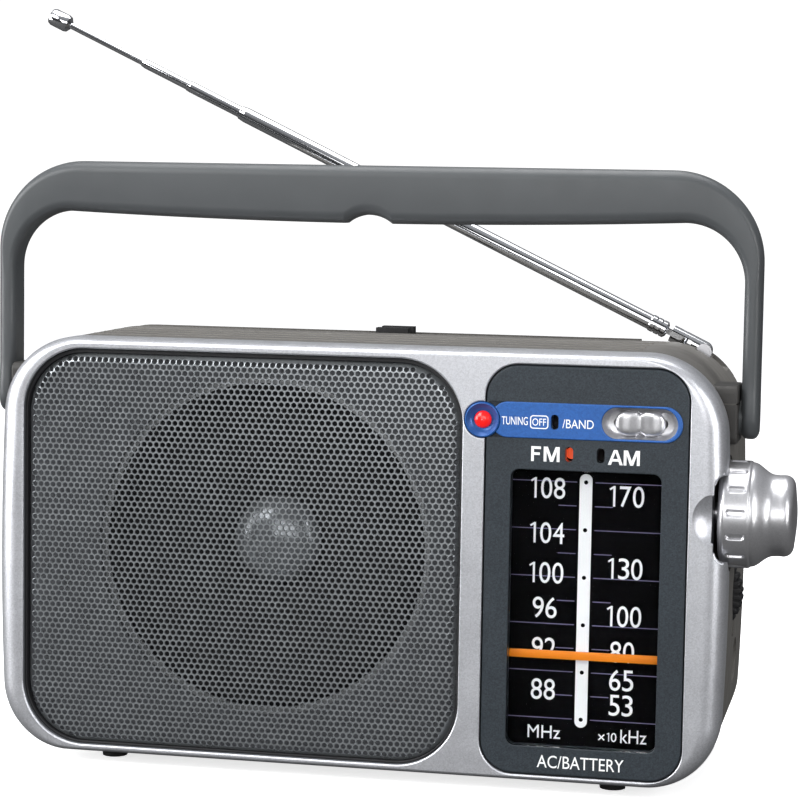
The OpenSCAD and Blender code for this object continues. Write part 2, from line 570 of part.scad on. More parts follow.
// ---- speaker ----------------------------------------------------------------
module at_spk() { translate([spk_x, 0, spk_z]) rotate([-90, 0, 0]) children(); }
y_s = yf + 6.62;  // face of the baffle on which the speaker sits
module speaker_basket() {
  color([0.55, 0.56, 0.58]) difference() {
    at_spk() rotate_extrude($fn = 96) polygon([[47.5, y_s], [spk_r, y_s], [spk_r, y_s + 1.4], [48.6, y_s + 2.2], [30, y_s + 22], [23, y_s + 26], [10.4, y_s + 26], [10.4, y_s + 24.6], [22.4, y_s + 24.6], [29, y_s + 20.8], [47.5, y_s + 1.2]]);
    for (a = [22.5:45:359]) at_spk() rotate([0, 0, a]) translate([38, 0, y_s + 6]) cylinder(r = 7.5, h = 30);
  }
  color([0.55, 0.56, 0.58]) difference() {
    for (a = [45:90:315]) at_spk() rotate([0, 0, a]) translate([48.6, -4.2, y_s]) cube([10.6, 8.4, 1.4]);
    for (a = [45:90:315]) ycyl(spk_x + 55.5 * cos(a), spk_z + 55.5 * sin(a), 1.6, y_s - 2, y_s + 4);
    at_spk() translate([0, 0, y_s - 1]) cylinder(r = 48, h = 20);
  }
}
module speaker_surround() {
  color([0.10, 0.10, 0.10]) at_spk() rotate_extrude($fn = 96) polygon([[47.4, y_s + 0.2], [47.4, y_s + 0.9], [45.6, y_s - 0.6], [43.8, y_s + 1.0], [42.2, y_s + 2.9], [41.6, y_s + 2.3], [43.3, y_s + 0.2], [45.6, y_s - 1.5]]);
}
module speaker_cone() {
  color([0.08, 0.08, 0.09]) at_spk() rotate_extrude($fn = 96) polygon([[42.1, y_s + 3.1], [42.1, y_s + 3.9], [10.2, y_s + 18.6], [10.2, y_s + 24], [9.4, y_s + 24], [9.4, y_s + 17.9], [41.7, y_s + 2.9]]);
}
module dust_cap() {
  color([0.35, 0.37, 0.40]) at_spk() rotate_extrude($fn = 64) polygon(concat([for (i = [0:8]) let (a = i * 90 / 8) [13.2 * sin(a), y_s + 15.5 - 6.8 * cos(a)]], [[12.6, y_s + 15.8]], [for (i = [8:-1:0]) let (a = i * 90 / 8) [12.5 * sin(a), y_s + 15.7 - 6.2 * cos(a)]]));
}
module speaker_magnet() {
  color([0.20, 0.20, 0.21]) at_spk() {
    difference() { translate([0, 0, y_s + 26.02]) cylinder(r = 22.5, h = 10, $fn = 64); translate([0, 0, y_s + 20]) cylinder(r = 10.6, h = 14); }
    translate([0, 0, y_s + 36.02]) cylinder(r = 21.5, h = 3);
    translate([0, 0, y_s + 19.4]) cylinder(r = 9, h = 18);
  }
}
module speaker_terminals() {
  color([0.75, 0.65, 0.40]) for (x = [-4, 4]) box3([spk_x + x - 1, y_s + 20, spk_z - 34], [spk_x + x + 1, y_s + 24.5, spk_z - 33.2]);
  color([0.45, 0.30, 0.15]) box3([spk_x - 8, y_s + 20.6, spk_z - 33.2], [spk_x + 8, y_s + 23.8, spk_z - 31.6]);
}
module speaker_screws() {
  color([0.8, 0.8, 0.8]) for (a = [45:90:315]) {
    ycyl(spk_x + 55.5 * cos(a), spk_z + 55.5 * sin(a), 1.15, yf + 5.2, y_s + 2);
    ycyl(spk_x + 55.5 * cos(a), spk_z + 55.5 * sin(a), 2.7, y_s + 1.42, y_s + 3.2);
  }
}

// ---- electronics ------------------------------------------------------------
module main_board() {
  color([0.55, 0.40, 0.20]) difference() {
    union() {
      box3([34, 16.2, 56], [76, 17.8, 110]);
    }
    for (x = [37, 73], z = [59, 96]) ycyl(x, z, 1.6, 15, 19);
  }
  // spacers to the back
  color([0.8, 0.8, 0.8]) for (x = [37, 73], z = [59, 96]) ycyl(x, z, 1.55, 16.3, yr - wall);
}
module board_components() {
  color([0.12, 0.12, 0.14]) {
    box3([42, 13.6, 84], [58, 16.1, 90]);
    for (p = [[40, 66, 3], [47, 66, 3], [46, 76, 4], [56, 98, 2.5]]) ycyl(p[0], p[1], p[2], 6.2, 16.1);
  }
  color([0.75, 0.75, 0.72]) for (p = [[62, 78], [62, 88], [50, 98]]) box3([p[0] - 3.5, 5.8, p[1] - 3.5], [p[0] + 3.5, 16.1, p[1] + 3.5]);
  color([0.80, 0.60, 0.30]) for (i = [0:5]) xcyl(14.6, 60 + i * 3.6, 1.1, 50.5, 57);
}
module ferrite_rod() { color([0.15, 0.15, 0.16]) xcyl(8, 107, 4.5, -42, 70); }
module ferrite_coil() {
  color([0.72, 0.45, 0.20]) difference() {
    union() { xcyl(8, 107, 5.3, -26, 0); for (x = [-27, 0]) xcyl(8, 107, 5.9, x, x + 1); }
    xcyl(8, 107, 4.52, -30, 4);
  }
}
module ferrite_holders() {
  color([0.9, 0.9, 0.88]) for (x = [40, 64]) difference() {
    box3([x - 2, 2, 101.5], [x + 2, 16.18, 111.6]);
    xcyl(8, 107, 4.53, x - 4, x + 4);
  }
}
module power_transformer() {
  color([0.45, 0.45, 0.47]) difference() {
    box3([40, 0, 6], [64, 18, 34]);
    box3([39, 3.5, 11], [65, 14.5, 29]);
  }
  color([0.85, 0.75, 0.35]) box3([38, 4, 11.4], [66, 14, 28.6]);
  color([0.45, 0.45, 0.47]) box3([34, 17.6, 2.7], [70, 19.4, 10]);
}
module ac_inlet() {
  color([0.05, 0.05, 0.05]) difference() {
    slab(yr - 18, yr - 1.2) rrect(69.1, 88.9, 14.1, 25.9, 1.95);
    slab(yr - 15, yr) { translate([75.5, 20]) circle(r = 4.3); translate([82.5, 20]) circle(r = 4.3); translate([75.5, 15.7]) square([7, 8.6]); }
  }
  color([0.8, 0.8, 0.8]) for (x = [75, 83]) ycyl(x, 20, 1.15, yr - 22, yr - 6);
}
module earphone_jack() {
  color([0.06, 0.06, 0.06]) difference() {
    union() { xcyl(9, 29, 3.85, 92.4, W - 3); box3([84, 4, 24.5], [92.4, 14, 33.5]); }
    xcyl(9, 29, 1.8, 86, W);
  }
}
module cabinet_screws() {
  color([0.65, 0.65, 0.66]) for (x = [-97, 97], z = [16, 92]) {
    difference() { ycyl(x, z, 3.2, yp + 15.02, yp + 17.4); ycyl(x, z, 1.1, yp + 16.4, yp + 18); }
    ycyl(x, z, 1.25, yp + 2, yp + 15.1);
  }
}

front_cabinet();
rear_cabinet();
speaker_grille();
grille_gasket();
dial_bezel();
dial_window();
dial_scale();
dial_frame();
pointer_rail();
dial_pointer();
band_strip();
lamp_ring();
lamp_lens();
tuning_led();
band_windows();
band_switch_knob();
band_flag();
band_switch_body();
tuning_knob();
tuning_shaft();
cord_drum();
cord_pulleys();
dial_cord();
tuning_capacitor();
volume_wheel();
volume_control();
handle();
handle_retainers();
antenna_base();
antenna_elbow_pin();
antenna_tube_1();
antenna_tube_2();
antenna_tube_3();
antenna_rod_4();
antenna_tip();
antenna_clip();
antenna_pivot_screw();
feet();
battery_door();
battery_case();
battery_springs();
battery_plates();
speaker_basket();
speaker_cone();
speaker_surround();
dust_cap();
speaker_magnet();
speaker_terminals();
speaker_screws();
main_board();
board_components();
ferrite_rod();
ferrite_coil();
ferrite_holders();
power_transformer();
ac_inlet();
earphone_jack();
cabinet_screws();
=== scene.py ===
import bpy, bmesh, json, math, random
import numpy as np
from mathutils import Matrix, Vector


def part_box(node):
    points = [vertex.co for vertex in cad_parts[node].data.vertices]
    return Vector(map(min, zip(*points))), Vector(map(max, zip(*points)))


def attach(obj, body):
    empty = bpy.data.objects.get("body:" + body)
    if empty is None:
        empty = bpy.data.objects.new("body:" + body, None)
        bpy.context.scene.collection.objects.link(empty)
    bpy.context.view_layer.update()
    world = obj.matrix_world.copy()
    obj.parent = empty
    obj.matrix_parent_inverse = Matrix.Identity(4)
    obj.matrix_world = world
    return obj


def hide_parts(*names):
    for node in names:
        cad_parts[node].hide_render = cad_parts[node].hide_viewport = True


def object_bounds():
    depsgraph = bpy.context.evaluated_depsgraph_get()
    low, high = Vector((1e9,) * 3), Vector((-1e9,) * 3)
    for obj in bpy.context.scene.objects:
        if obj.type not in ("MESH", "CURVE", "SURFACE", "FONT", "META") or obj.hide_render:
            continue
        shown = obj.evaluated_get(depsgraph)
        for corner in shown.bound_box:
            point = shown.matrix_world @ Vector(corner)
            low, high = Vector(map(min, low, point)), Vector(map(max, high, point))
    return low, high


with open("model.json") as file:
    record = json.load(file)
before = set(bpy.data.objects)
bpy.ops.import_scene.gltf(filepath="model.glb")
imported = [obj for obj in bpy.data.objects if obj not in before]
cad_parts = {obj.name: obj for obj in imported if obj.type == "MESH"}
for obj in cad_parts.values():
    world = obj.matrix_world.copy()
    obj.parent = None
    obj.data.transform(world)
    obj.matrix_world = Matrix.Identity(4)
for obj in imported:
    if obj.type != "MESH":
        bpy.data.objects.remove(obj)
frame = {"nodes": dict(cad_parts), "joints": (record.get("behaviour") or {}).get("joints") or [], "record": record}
CAD_BOX = [list(v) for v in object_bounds()]
scene = bpy.context.scene
MM = 0.001
random.seed(7)


# ---------------------------------------------------------------- helpers
def box_mm(node):
    lo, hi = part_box(node)
    return [c / MM for c in lo], [c / MM for c in hi]


F0, F1 = box_mm("front_cabinet")
R0, R1 = box_mm("rear_cabinet")
W, H = F1[0], F1[2]
YF, YP, YR = F0[1], R0[1] - 0.02, 40.0
G0, G1 = box_mm("grille_gasket")
GX0, GX1, GZ0, GZ1, GR = G0[0] - 0.05, G1[0] + 0.05, G0[2] - 0.05, G1[2] + 0.05, 18.5
P0, P1 = box_mm("dial_bezel")
PX0, PX1, PZ0, PZ1, PR = P0[0] - 0.35, P1[0] + 0.35, P0[2] - 0.35, P1[2] + 0.35, 9.5
W0, W1 = box_mm("dial_window")
WX0, WX1, WZ0, WZ1 = W0[0] - 0.05, W1[0] + 0.05, W0[2] - 0.05, W1[2] + 0.05
L0, L1 = box_mm("lamp_ring")
LX, LZ = (L0[0] + L1[0]) / 2, (L0[2] + L1[2]) / 2
S0, S1 = box_mm("tuning_shaft")
KY, KZ = (S0[1] + S1[1]) / 2, (S0[2] + S1[2]) / 2
C0, C1 = box_mm("speaker_cone")
SX, SZ = (C0[0] + C1[0]) / 2, (C0[2] + C1[2]) / 2
joint = {j["name"]: j for j in frame["joints"]}
PIVY, PIVZ = joint["handle_fold"]["pos_m"][1] / MM, joint["handle_fold"]["pos_m"][2] / MM
VX, VY, VZ = [c / MM for c in joint["volume_turn"]["pos_m"]]
SWX, AY, SWZ = [c / MM for c in joint["aerial_swivel"]["pos_m"]]


def arc(cx, cz, r, a0, a1, n):
    return [(cx + r * math.cos(math.radians(a0 + (a1 - a0) * i / n)),
             cz + r * math.sin(math.radians(a0 + (a1 - a0) * i / n))) for i in range(n + 1)]


def rrect(x0, x1, z0, z1, r, n=14):
    r = max(0.02, min(r, (x1 - x0) / 2 - 1e-3, (z1 - z0) / 2 - 1e-3))
    return (arc(x1 - r, z1 - r, r, 0, 90, n) + arc(x0 + r, z1 - r, r, 90, 180, n)
            + arc(x0 + r, z0 + r, r, 180, 270, n) + arc(x1 - r, z0 + r, r, 270, 360, n))


def rr(x0, x1, z0, z1, r, n=14):
    """A rounded rectangle as a function of how far it is grown."""
    return lambda o: rrect(x0 - o, x1 + o, z0 - o, z1 + o, r + o, n)


def circ(cx, cz, r, n=64):
    return lambda o: [(cx + (r + o) * math.cos(2 * math.pi * i / n), cz + (r + o) * math.sin(2 * math.pi * i / n)) for i in range(n)]


def place(pts, t, axis):
    if axis == "y":
        return [(u, t, v) for u, v in pts]
    if axis == "x":
        return [(t, u, v) for u, v in pts]
    return [(u, v, t) for u, v in pts]


def obj_from(name, verts, faces, recalc=True):
    me = bpy.data.meshes.new(name)
    me.from_pydata([(v[0] * MM, v[1] * MM, v[2] * MM) for v in verts], [], faces)
    if recalc:
        bm = bmesh.new()
        bm.from_mesh(me)
        bmesh.ops.recalc_face_normals(bm, faces=bm.faces)
        bm.to_mesh(me)
        bm.free()
    o = bpy.data.objects.new(name, me)
    scene.collection.objects.link(o)
    return o


def loft(name, rings, cap=True, closed=True):
    n = len(rings[0])
    verts = [p for r in rings for p in r]
    faces = []
    for k in range(len(rings) - 1):
        for i in range(n if closed else n - 1):
            a, b = k * n + i, k * n + (i + 1) % n
            faces.append((a, b, b + n, a + n))
    if cap:
        faces.append(tuple(range(n))[::-1])
        faces.append(tuple((len(rings) - 1) * n + i for i in range(n)))
    return obj_from(name, verts, faces)


def plate(name, shape, a0, a1, e0=0.0, e1=0.0, axis="y", seg=5):
    """A prism of shape(grow) from a0 to a1, with its two edges rounded by e0 and e1."""
    rings = []
    if e0 > 0:
        for k in range(seg):
            f = math.radians(90 * k / seg)
            rings.append(place(shape(-e0 * (1 - math.sin(f))), a0 + e0 * (1 - math.cos(f)), axis))
    rings.append(place(shape(0), a0 + e0, axis))
    rings.append(place(shape(0), a1 - e1, axis))
    if e1 > 0:
        for k in range(seg - 1, -1, -1):
            f = math.radians(90 * k / seg)
            rings.append(place(shape(-e1 * (1 - math.sin(f))), a1 - e1 * (1 - math.cos(f)), axis))
    return loft(name, rings)


def flare(name, shape, y0, y1, rho, axis="y", out=3.0, seg=5, sign=1):
    """A cutter whose mouth at y0 leaves a rounded edge of radius rho. sign -1 opens towards higher values."""
    rings = [place(shape(rho), y0 - sign * out, axis)]
    for k in range(seg + 1):
        f = math.radians(90 * k / seg)
        rings.append(place(shape(rho * (1 - math.sin(f))), y0 + sign * rho * (1 - math.cos(f)), axis))
    rings.append(place(shape(0), y1, axis))
    return loft(name, rings)


def revolve(name, profile, axis, c, n=96, radius=None):
    """profile: (radius, t) from end to end, both ends on the axis or closed with caps. radius(r, t, angle) may vary it."""
    rings = []
    for r, t in profile:
        row = []
        for i in range(n):
            a = 2 * math.pi * i / n
            q = radius(r, t, a) if radius else r
            u, v = q * math.cos(a), q * math.sin(a)
            row.append({"x": (t, c[0] + u, c[1] + v), "y": (c[0] + u, t, c[1] + v), "z": (c[0] + u, c[1] + v, t)}[axis])
        rings.append(row)
    return loft(name, rings)


def boolean(obj, others, op="DIFFERENCE"):
    others = [o for o in others if o is not None]
    for o in others:
        before = len(obj.data.vertices)
        for solver in ("MANIFOLD", "EXACT"):
            m = obj.modifiers.new("cut", "BOOLEAN")
            m.operation, m.object = op, o
            try:
                m.solver = solver
            except TypeError:
                m.solver = "EXACT"
            dg = bpy.context.evaluated_depsgraph_get()
            dg.update()
            me = bpy.data.meshes.new_from_object(obj.evaluated_get(dg))
            obj.modifiers.clear()
            if len(me.vertices) > 3 and not (solver == "MANIFOLD" and len(me.vertices) == before):
                break
        if len(me.vertices) == before:
            print("BOOLEAN unchanged", obj.name, o.name)
        obj.data = me
        bpy.data.objects.remove(o)
    return obj


def weld(obj, d=0.002):
    bm = bmesh.new()
    bm.from_mesh(obj.data)
    bmesh.ops.remove_doubles(bm, verts=bm.verts, dist=d * MM)
    bmesh.ops.dissolve_degenerate(bm, edges=bm.edges, dist=d * MM)
    bm.to_mesh(obj.data)
    bm.free()
    return obj


def smooth(obj, angle=32, weighted=True):
    me = obj.data
    me.shade_smooth()
    me.set_sharp_from_angle(angle=math.radians(angle))
    if weighted:
        m = obj.modifiers.new("normals", "WEIGHTED_NORMAL")
        m.keep_sharp = True
    return obj


def done(obj, body, mat, replaces=(), angle=32, weighted=True):
    obj.data.materials.clear()
    obj.data.materials.append(mat)
    smooth(obj, angle, weighted)
    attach(obj, body)
    if replaces:
        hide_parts(*replaces)
    return obj


def second(obj, mat, test):
    """Give the faces for which test(centre in mm, normal) holds a second material."""
    obj.data.materials.append(mat)
    for p in obj.data.polygons:
        c = p.center / MM
        if test(c, p.normal):
            p.material_index = 1


def in_rr(x, z, x0, x1, z0, z1, r, grow=0.0):
    dx, dz = abs(x - (x0 + x1) / 2) - ((x1 - x0) / 2 - r), abs(z - (z0 + z1) / 2) - ((z1 - z0) / 2 - r)
    return math.hypot(max(dx, 0), max(dz, 0)) + min(max(dx, dz), 0) - r <= grow


def join(name, objs):
    verts, faces = [], []
    for o in objs:
        k = len(verts)
        verts += [tuple(v.co / MM) for v in o.data.vertices]
        faces += [tuple(k + i for i in p.vertices) for p in o.data.polygons]
        bpy.data.objects.remove(o)
    return obj_from(name, verts, faces, recalc=False)


# ---------------------------------------------------------------- materials
def material(name, color, rough=0.5, metal=0.0, vary=0.04, vscale=60, rvary=0.06, rscale=180,
             grain=0.0, gscale=1500, gdepth=0.02, fleck=0.0, fscale=2600, coat=0.0, spec=0.5,
             transmission=0.0, ior=1.45, sheen=0.0, emit=0.0, dust=0.0, streak=None):
    """One Principled material: a colour that varies softly, roughness that varies, and a moulded grain or fleck."""
    m = bpy.data.materials.new(name)
    m.use_nodes = True
    nt = m.node_tree
    b = nt.nodes["Principled BSDF"]
    tc = nt.nodes.new("ShaderNodeTexCoord")
    src = tc.outputs["Object"]
    if streak:
        mp = nt.nodes.new("ShaderNodeMapping")
        mp.inputs["Scale"].default_value = streak
        nt.links.new(src, mp.inputs["Vector"])
        src_s = mp.outputs["Vector"]
    else:
        src_s = src

    def noise(scale, detail=3.0, s=None):
        n = nt.nodes.new("ShaderNodeTexNoise")
        n.inputs["Scale"].default_value = scale
        n.inputs["Detail"].default_value = detail
        nt.links.new(s or src, n.inputs["Vector"])
        return n.outputs["Fac"]

    ramp = nt.nodes.new("ShaderNodeValToRGB")
    c = color[:3]
    lo = [max(0.0, x * (1 - vary)) for x in c]
    hi = [min(1.0, x * (1 + vary)) for x in c]
    ramp.color_ramp.elements[0].position, ramp.color_ramp.elements[1].position = 0.35, 0.65
    ramp.color_ramp.elements[0].color = (*lo, 1)
    ramp.color_ramp.elements[1].color = (*hi, 1)
    nt.links.new(noise(vscale, 4.0, src_s), ramp.inputs["Fac"])
    colour = ramp.outputs["Color"]
    if fleck > 0:
        v = nt.nodes.new("ShaderNodeTexVoronoi")
        v.inputs["Scale"].default_value = fscale
        nt.links.new(src, v.inputs["Vector"])
        fr = nt.nodes.new("ShaderNodeValToRGB")
        fr.color_ramp.elements[0].color = (1 - fleck, 1 - fleck, 1 - fleck, 1)
        fr.color_ramp.elements[1].color = (1 + fleck, 1 + fleck, 1 + fleck, 1)
        sep = nt.nodes.new("ShaderNodeSeparateColor")
        nt.links.new(v.outputs["Color"], sep.inputs["Color"])
        nt.links.new(sep.outputs["Red"], fr.inputs["Fac"])
        mx = nt.nodes.new("ShaderNodeMix")
        mx.data_type, mx.blend_type = "RGBA", "MULTIPLY"
        mx.inputs["Factor"].default_value = 1.0
        nt.links.new(colour, mx.inputs[6])
        nt.links.new(fr.outputs["Color"], mx.inputs[7])
        colour = mx.outputs[2]
    nt.links.new(colour, b.inputs["Base Color"])
    mr = nt.nodes.new("ShaderNodeMapRange")
    mr.inputs["To Min"].default_value = max(0.02, rough - rvary)
    mr.inputs["To Max"].default_value = min(1.0, rough + rvary)
    mr.inputs["From Min"].default_value, mr.inputs["From Max"].default_value = 0.3, 0.7
    nt.links.new(noise(rscale, 3.0, src_s), mr.inputs["Value"])
    nt.links.new(mr.outputs["Result"], b.inputs["Roughness"])
    if grain > 0:
        bp = nt.nodes.new("ShaderNodeBump")
        bp.inputs["Strength"].default_value = grain
        bp.inputs["Distance"].default_value = gdepth * MM
        nt.links.new(noise(gscale, 2.0, src_s), bp.inputs["Height"])
        nt.links.new(bp.outputs["Normal"], b.inputs["Normal"])
    b.inputs["Metallic"].default_value = metal
    b.inputs["Specular IOR Level"].default_value = spec
    b.inputs["IOR"].default_value = ior
    b.inputs["Coat Weight"].default_value = coat
    b.inputs["Coat Roughness"].default_value = 0.12
    b.inputs["Transmission Weight"].default_value = transmission
    b.inputs["Sheen Weight"].default_value = sheen
    if emit > 0:
        b.inputs["Emission Color"].default_value = (*c, 1)
        b.inputs["Emission Strength"].default_value = emit
    return m


M = {}
M["silver_shell"] = material("silver_paint", (0.62, 0.63, 0.665), 0.36, 0.78, vary=0.02, vscale=25, fleck=0.10, fscale=2900, grain=0.25, gscale=2600, gdepth=0.006, rvary=0.03)
M["dark_shell"] = material("taupe_plastic", (0.128, 0.122, 0.113), 0.55, 0.0, vary=0.05, vscale=40, grain=0.5, gscale=1800, gdepth=0.03, spec=0.45)
# painted shade: a dark grey for the recess walls, the silver baffle behind the grille and the shell's inner faces,
# standing in for the shade inside them
M["painted_shade_recess"] = material("painted_shade_recess", (0.115, 0.12, 0.13), 0.55, 0.2, vary=0.06, vscale=90, grain=0.2, gscale=2200, spec=0.3)
M["shoulder_black"] = material("shoulder_black", (0.040, 0.038, 0.036), 0.5, vary=0.06, vscale=70, grain=0.4, gscale=1800, gdepth=0.02, spec=0.4)
M["grille_mesh"] = material("grille_sheet", (0.32, 0.34, 0.355), 0.30, 0.72, vary=0.05, vscale=60, grain=0.15, gscale=2500, gdepth=0.01)
M["black_trim"] = material("black_trim", (0.012, 0.012, 0.014), 0.6, vary=0.1, vscale=200, grain=0.3, gscale=1500)
M["slate_panel"] = material("slate_panel", (0.033, 0.041, 0.049), 0.42, 0.15, vary=0.05, vscale=60, fleck=0.25, fscale=3000, grain=0.2, gscale=2600, gdepth=0.01, spec=0.35)
M["clear_lens"] = material("clear_lens", (0.97, 0.98, 0.99), 0.03, vary=0.01, rvary=0.01, transmission=1.0, ior=1.04, spec=0.0)
M["dial_black"] = material("dial_black", (0.003, 0.003, 0.0035), 0.8, vary=0.1, vscale=200, grain=0.1, gscale=2000, spec=0.03)
M["steel"] = material("plated_steel", (0.55, 0.55, 0.57), 0.33, 1.0, vary=0.05, vscale=120, grain=0.2, gscale=1200, gdepth=0.006)
M["pointer_orange"] = material("pointer_orange", (0.86, 0.24, 0.012), 0.4, vary=0.03, vscale=150, spec=0.3, grain=0.1, gscale=1500)
M["blue_strip"] = material("blue_strip", (0.022, 0.105, 0.36), 0.38, 0.1, vary=0.05, vscale=80, fleck=0.12, fscale=2000, grain=0.15, gscale=2200, gdepth=0.01)
M["blue_ring"] = material("blue_ring", (0.020, 0.095, 0.32), 0.30, 0.2, vary=0.05, vscale=100, fleck=0.08)
M["lamp_red"] = material("lamp_red", (0.80, 0.010, 0.008), 0.25, vary=0.04, vscale=200, coat=0.4, emit=0.35)
# painted light: emission 0.6 makes the red band flag glow though it is no lamp
M["flag_red"] = material("flag_red", (0.88, 0.085, 0.02), 0.45, vary=0.04, vscale=200, emit=0.6)
M["flag_dark"] = material("smoked_window", (0.010, 0.012, 0.018), 0.2, vary=0.1, vscale=200)
M["silver_knob"] = material("silver_knob", (0.60, 0.60, 0.62), 0.33, 0.88, vary=0.02, vscale=50, fleck=0.05, fscale=2600, grain=0.12, gscale=2500, gdepth=0.005, rvary=0.03)
M["drum_plastic"] = material("natural_plastic", (0.60, 0.58, 0.52), 0.5, vary=0.04, grain=0.2)
M["cord_fibre"] = material("cord_fibre", (0.45, 0.41, 0.30), 0.85, vary=0.12, vscale=900, grain=0.8, gscale=3000, gdepth=0.06, sheen=0.2)
M["black_plastic"] = material("black_plastic", (0.013, 0.013, 0.014), 0.55, spec=0.3, vary=0.08, vscale=90, grain=0.35, gscale=1700, gdepth=0.02)
M["handle_slate"] = material("handle_slate", (0.064, 0.069, 0.073), 0.42, vary=0.05, vscale=50, grain=0.28, gscale=1900, gdepth=0.015, spec=0.5)
M["aerial_chrome"] = material("chrome", (0.70, 0.71, 0.73), 0.05, 1.0, vary=0.02, vscale=80, rvary=0.02, rscale=300)
M["foot_rubber"] = material("foot_rubber", (0.012, 0.012, 0.012), 0.85, vary=0.15, vscale=200, grain=0.5, gscale=900, gdepth=0.05)
M["basket_steel"] = material("basket_steel", (0.35, 0.36, 0.37), 0.4, 0.9, vary=0.06, vscale=70, grain=0.2)
M["cone_paper"] = material("cone_paper", (0.018, 0.018, 0.020), 0.8, vary=0.2, vscale=300, grain=0.8, gscale=900, gdepth=0.08, sheen=0.1)
M["cap_grey"] = material("dust_cap", (0.34, 0.36, 0.38), 0.20, 0.55, vary=0.05, vscale=120, grain=0.2)
M["magnet"] = material("ferrite", (0.05, 0.05, 0.052), 0.55, 0.3, vary=0.15, vscale=150, grain=0.5, gscale=700, gdepth=0.05)
M["board"] = material("phenolic_board", (0.28, 0.15, 0.05), 0.5, vary=0.10, vscale=220, grain=0.2)
M["brass"] = material("tinned_brass", (0.62, 0.50, 0.24), 0.3, 1.0, vary=0.06, vscale=120)
M["core"] = material("laminated_core", (0.18, 0.18, 0.19), 0.5, 0.6, vary=0.12, vscale=100, streak=(1, 40, 1), grain=0.5, gscale=60)
M["copper"] = material("enamelled_copper", (0.50, 0.20, 0.06), 0.3, 0.9, vary=0.12, vscale=60, streak=(40, 1, 1), grain=0.6, gscale=60)
M["print_white"] = material("print_white", (0.93, 0.935, 0.94), 0.5, vary=0.02, vscale=300, spec=0.3)
M["print_violet"] = material("print_violet", (0.20, 0.18, 0.32), 0.5, vary=0.05, vscale=300, spec=0.3)
M["strip_white"] = material("strip_white", (0.90, 0.90, 0.90), 0.45, vary=0.02, vscale=100, spec=0.3, grain=0.08)

slots = {m["slot"] for m in frame["record"]["materials"]}
node_slot = {s["node"]: s["material_slot"] for s in frame["record"]["subparts"]}
for n, o in frame["nodes"].items():
    o.data.materials.clear()
    o.data.materials.append(M[node_slot[n]])
    o.data.shade_smooth()
    w = o.modifiers.new("weld", "WELD")
    w.merge_threshold = 2e-6
    e = o.modifiers.new("split", "EDGE_SPLIT")
    e.split_angle = math.radians(28)


def bevel_cad(node, width=0.2, seg=2, angle=40):
    """A small rounding of a CAD node's hard edges, as a modifier."""
    o = frame["nodes"][node]
    m = o.modifiers.new("edge", "BEVEL")
    m.width, m.segments, m.limit_method, m.angle_limit = width * MM, seg, "ANGLE", math.radians(angle)
    m.use_clamp_overlap = True
    o.modifiers.move(len(o.modifiers) - 1, 1)


for n, wd in (("dial_pointer", 0.2), ("antenna_clip", 0.4), ("power_transformer", 0.3), ("ferrite_holders", 0.3), ("battery_case", 0.4)):
    bevel_cad(n, wd)
frame["nodes"]["lamp_ring"].data.materials[0] = M["blue_ring"]
frame["nodes"]["band_windows"].data.materials[0] = M["clear_lens"]

# ---------------------------------------------------------------- camera
cam_data = bpy.data.cameras.new("camera")
cam = bpy.data.objects.new("camera", cam_data)
scene.collection.objects.link(cam)
right, up, back = Vector((0.977593, 0.209893, 0.016274)), Vector((-0.034770, 0.084736, 0.995804)), Vector((0.20763, -0.97405, 0.090135))
up = back.cross(right).normalized()
right = up.cross(back).normalized()
loc = Vector((0.16074, -0.72875, 0.17135))
cam.matrix_world = Matrix(((right.x, up.x, back.x, loc.x), (right.y, up.y, back.y, loc.y), (right.z, up.z, back.z, loc.z), (0, 0, 0, 1)))
cam_data.lens, cam_data.sensor_width = 112.5, 36.0
cam_data.clip_start, cam_data.clip_end = 0.05, 50
scene.camera = cam

# ---------------------------------------------------------------- cabinet
R_TOP, R_BOT, BARREL, MIDZ = 22.0, 19.5, 0.00055, 58.0


def outline(ex, ez, n=22):
    rt, rb = R_TOP - (ex + ez) / 2, R_BOT - (ex + ez) / 2
    zs = np.linspace(ez + rb, H - ez - rt, 16)
    xt = np.linspace(W - ex - rt, -(W - ex - rt), 30)
    xb = np.linspace(-(W - ex - rb), W - ex - rb, 30)
    p = [(W - ex, z) for z in zs[1:-1]]
    p += arc(W - ex - rt, H - ez - rt, rt, 0, 90, n)
    p += [(x, H - ez) for x in xt[1:-1]]
    p += arc(-(W - ex - rt), H - ez - rt, rt, 90, 180, n)
    p += [(-(W - ex), z) for z in zs[::-1][1:-1]]
    p += arc(-(W - ex - rb), ez + rb, rb, 180, 270, n)
    p += [(x, ez) for x in xb[1:-1]]
    p += arc(W - ex - rb, ez + rb, rb, 270, 360, n)
    return [(x - x / W * BARREL * (z - MIDZ) ** 2, z) for x, z in p]


def knob_cup(name, x0, grow=0.0):
    return revolve(name, [(0.0001, x0 - grow), (16.6 + grow, x0 - grow), (16.6 + grow, W + 10), (0.0001, W + 10)], "x", (KY, KZ), 120)


rings = []
for k in range(15):
    f = math.radians(90 * k / 14)
    rings.append(place(outline(6.7 * (1 - math.sin(f)), 1.75 * (1 - math.sin(f))), YF + 5.4 * (1 - math.cos(f)), "y"))
rings.append(place(outline(0, 0), YP - 0.4, "y"))
rings.append(place(outline(0.35, 0.35), YP, "y"))
front = loft("front_shell", rings)
cav = loft("c", [place(outline(2.5, 2.5), YF + 6.6, "y"), place(outline(2.5, 2.5), YP + 3, "y")])
front = boolean(front, [cav])
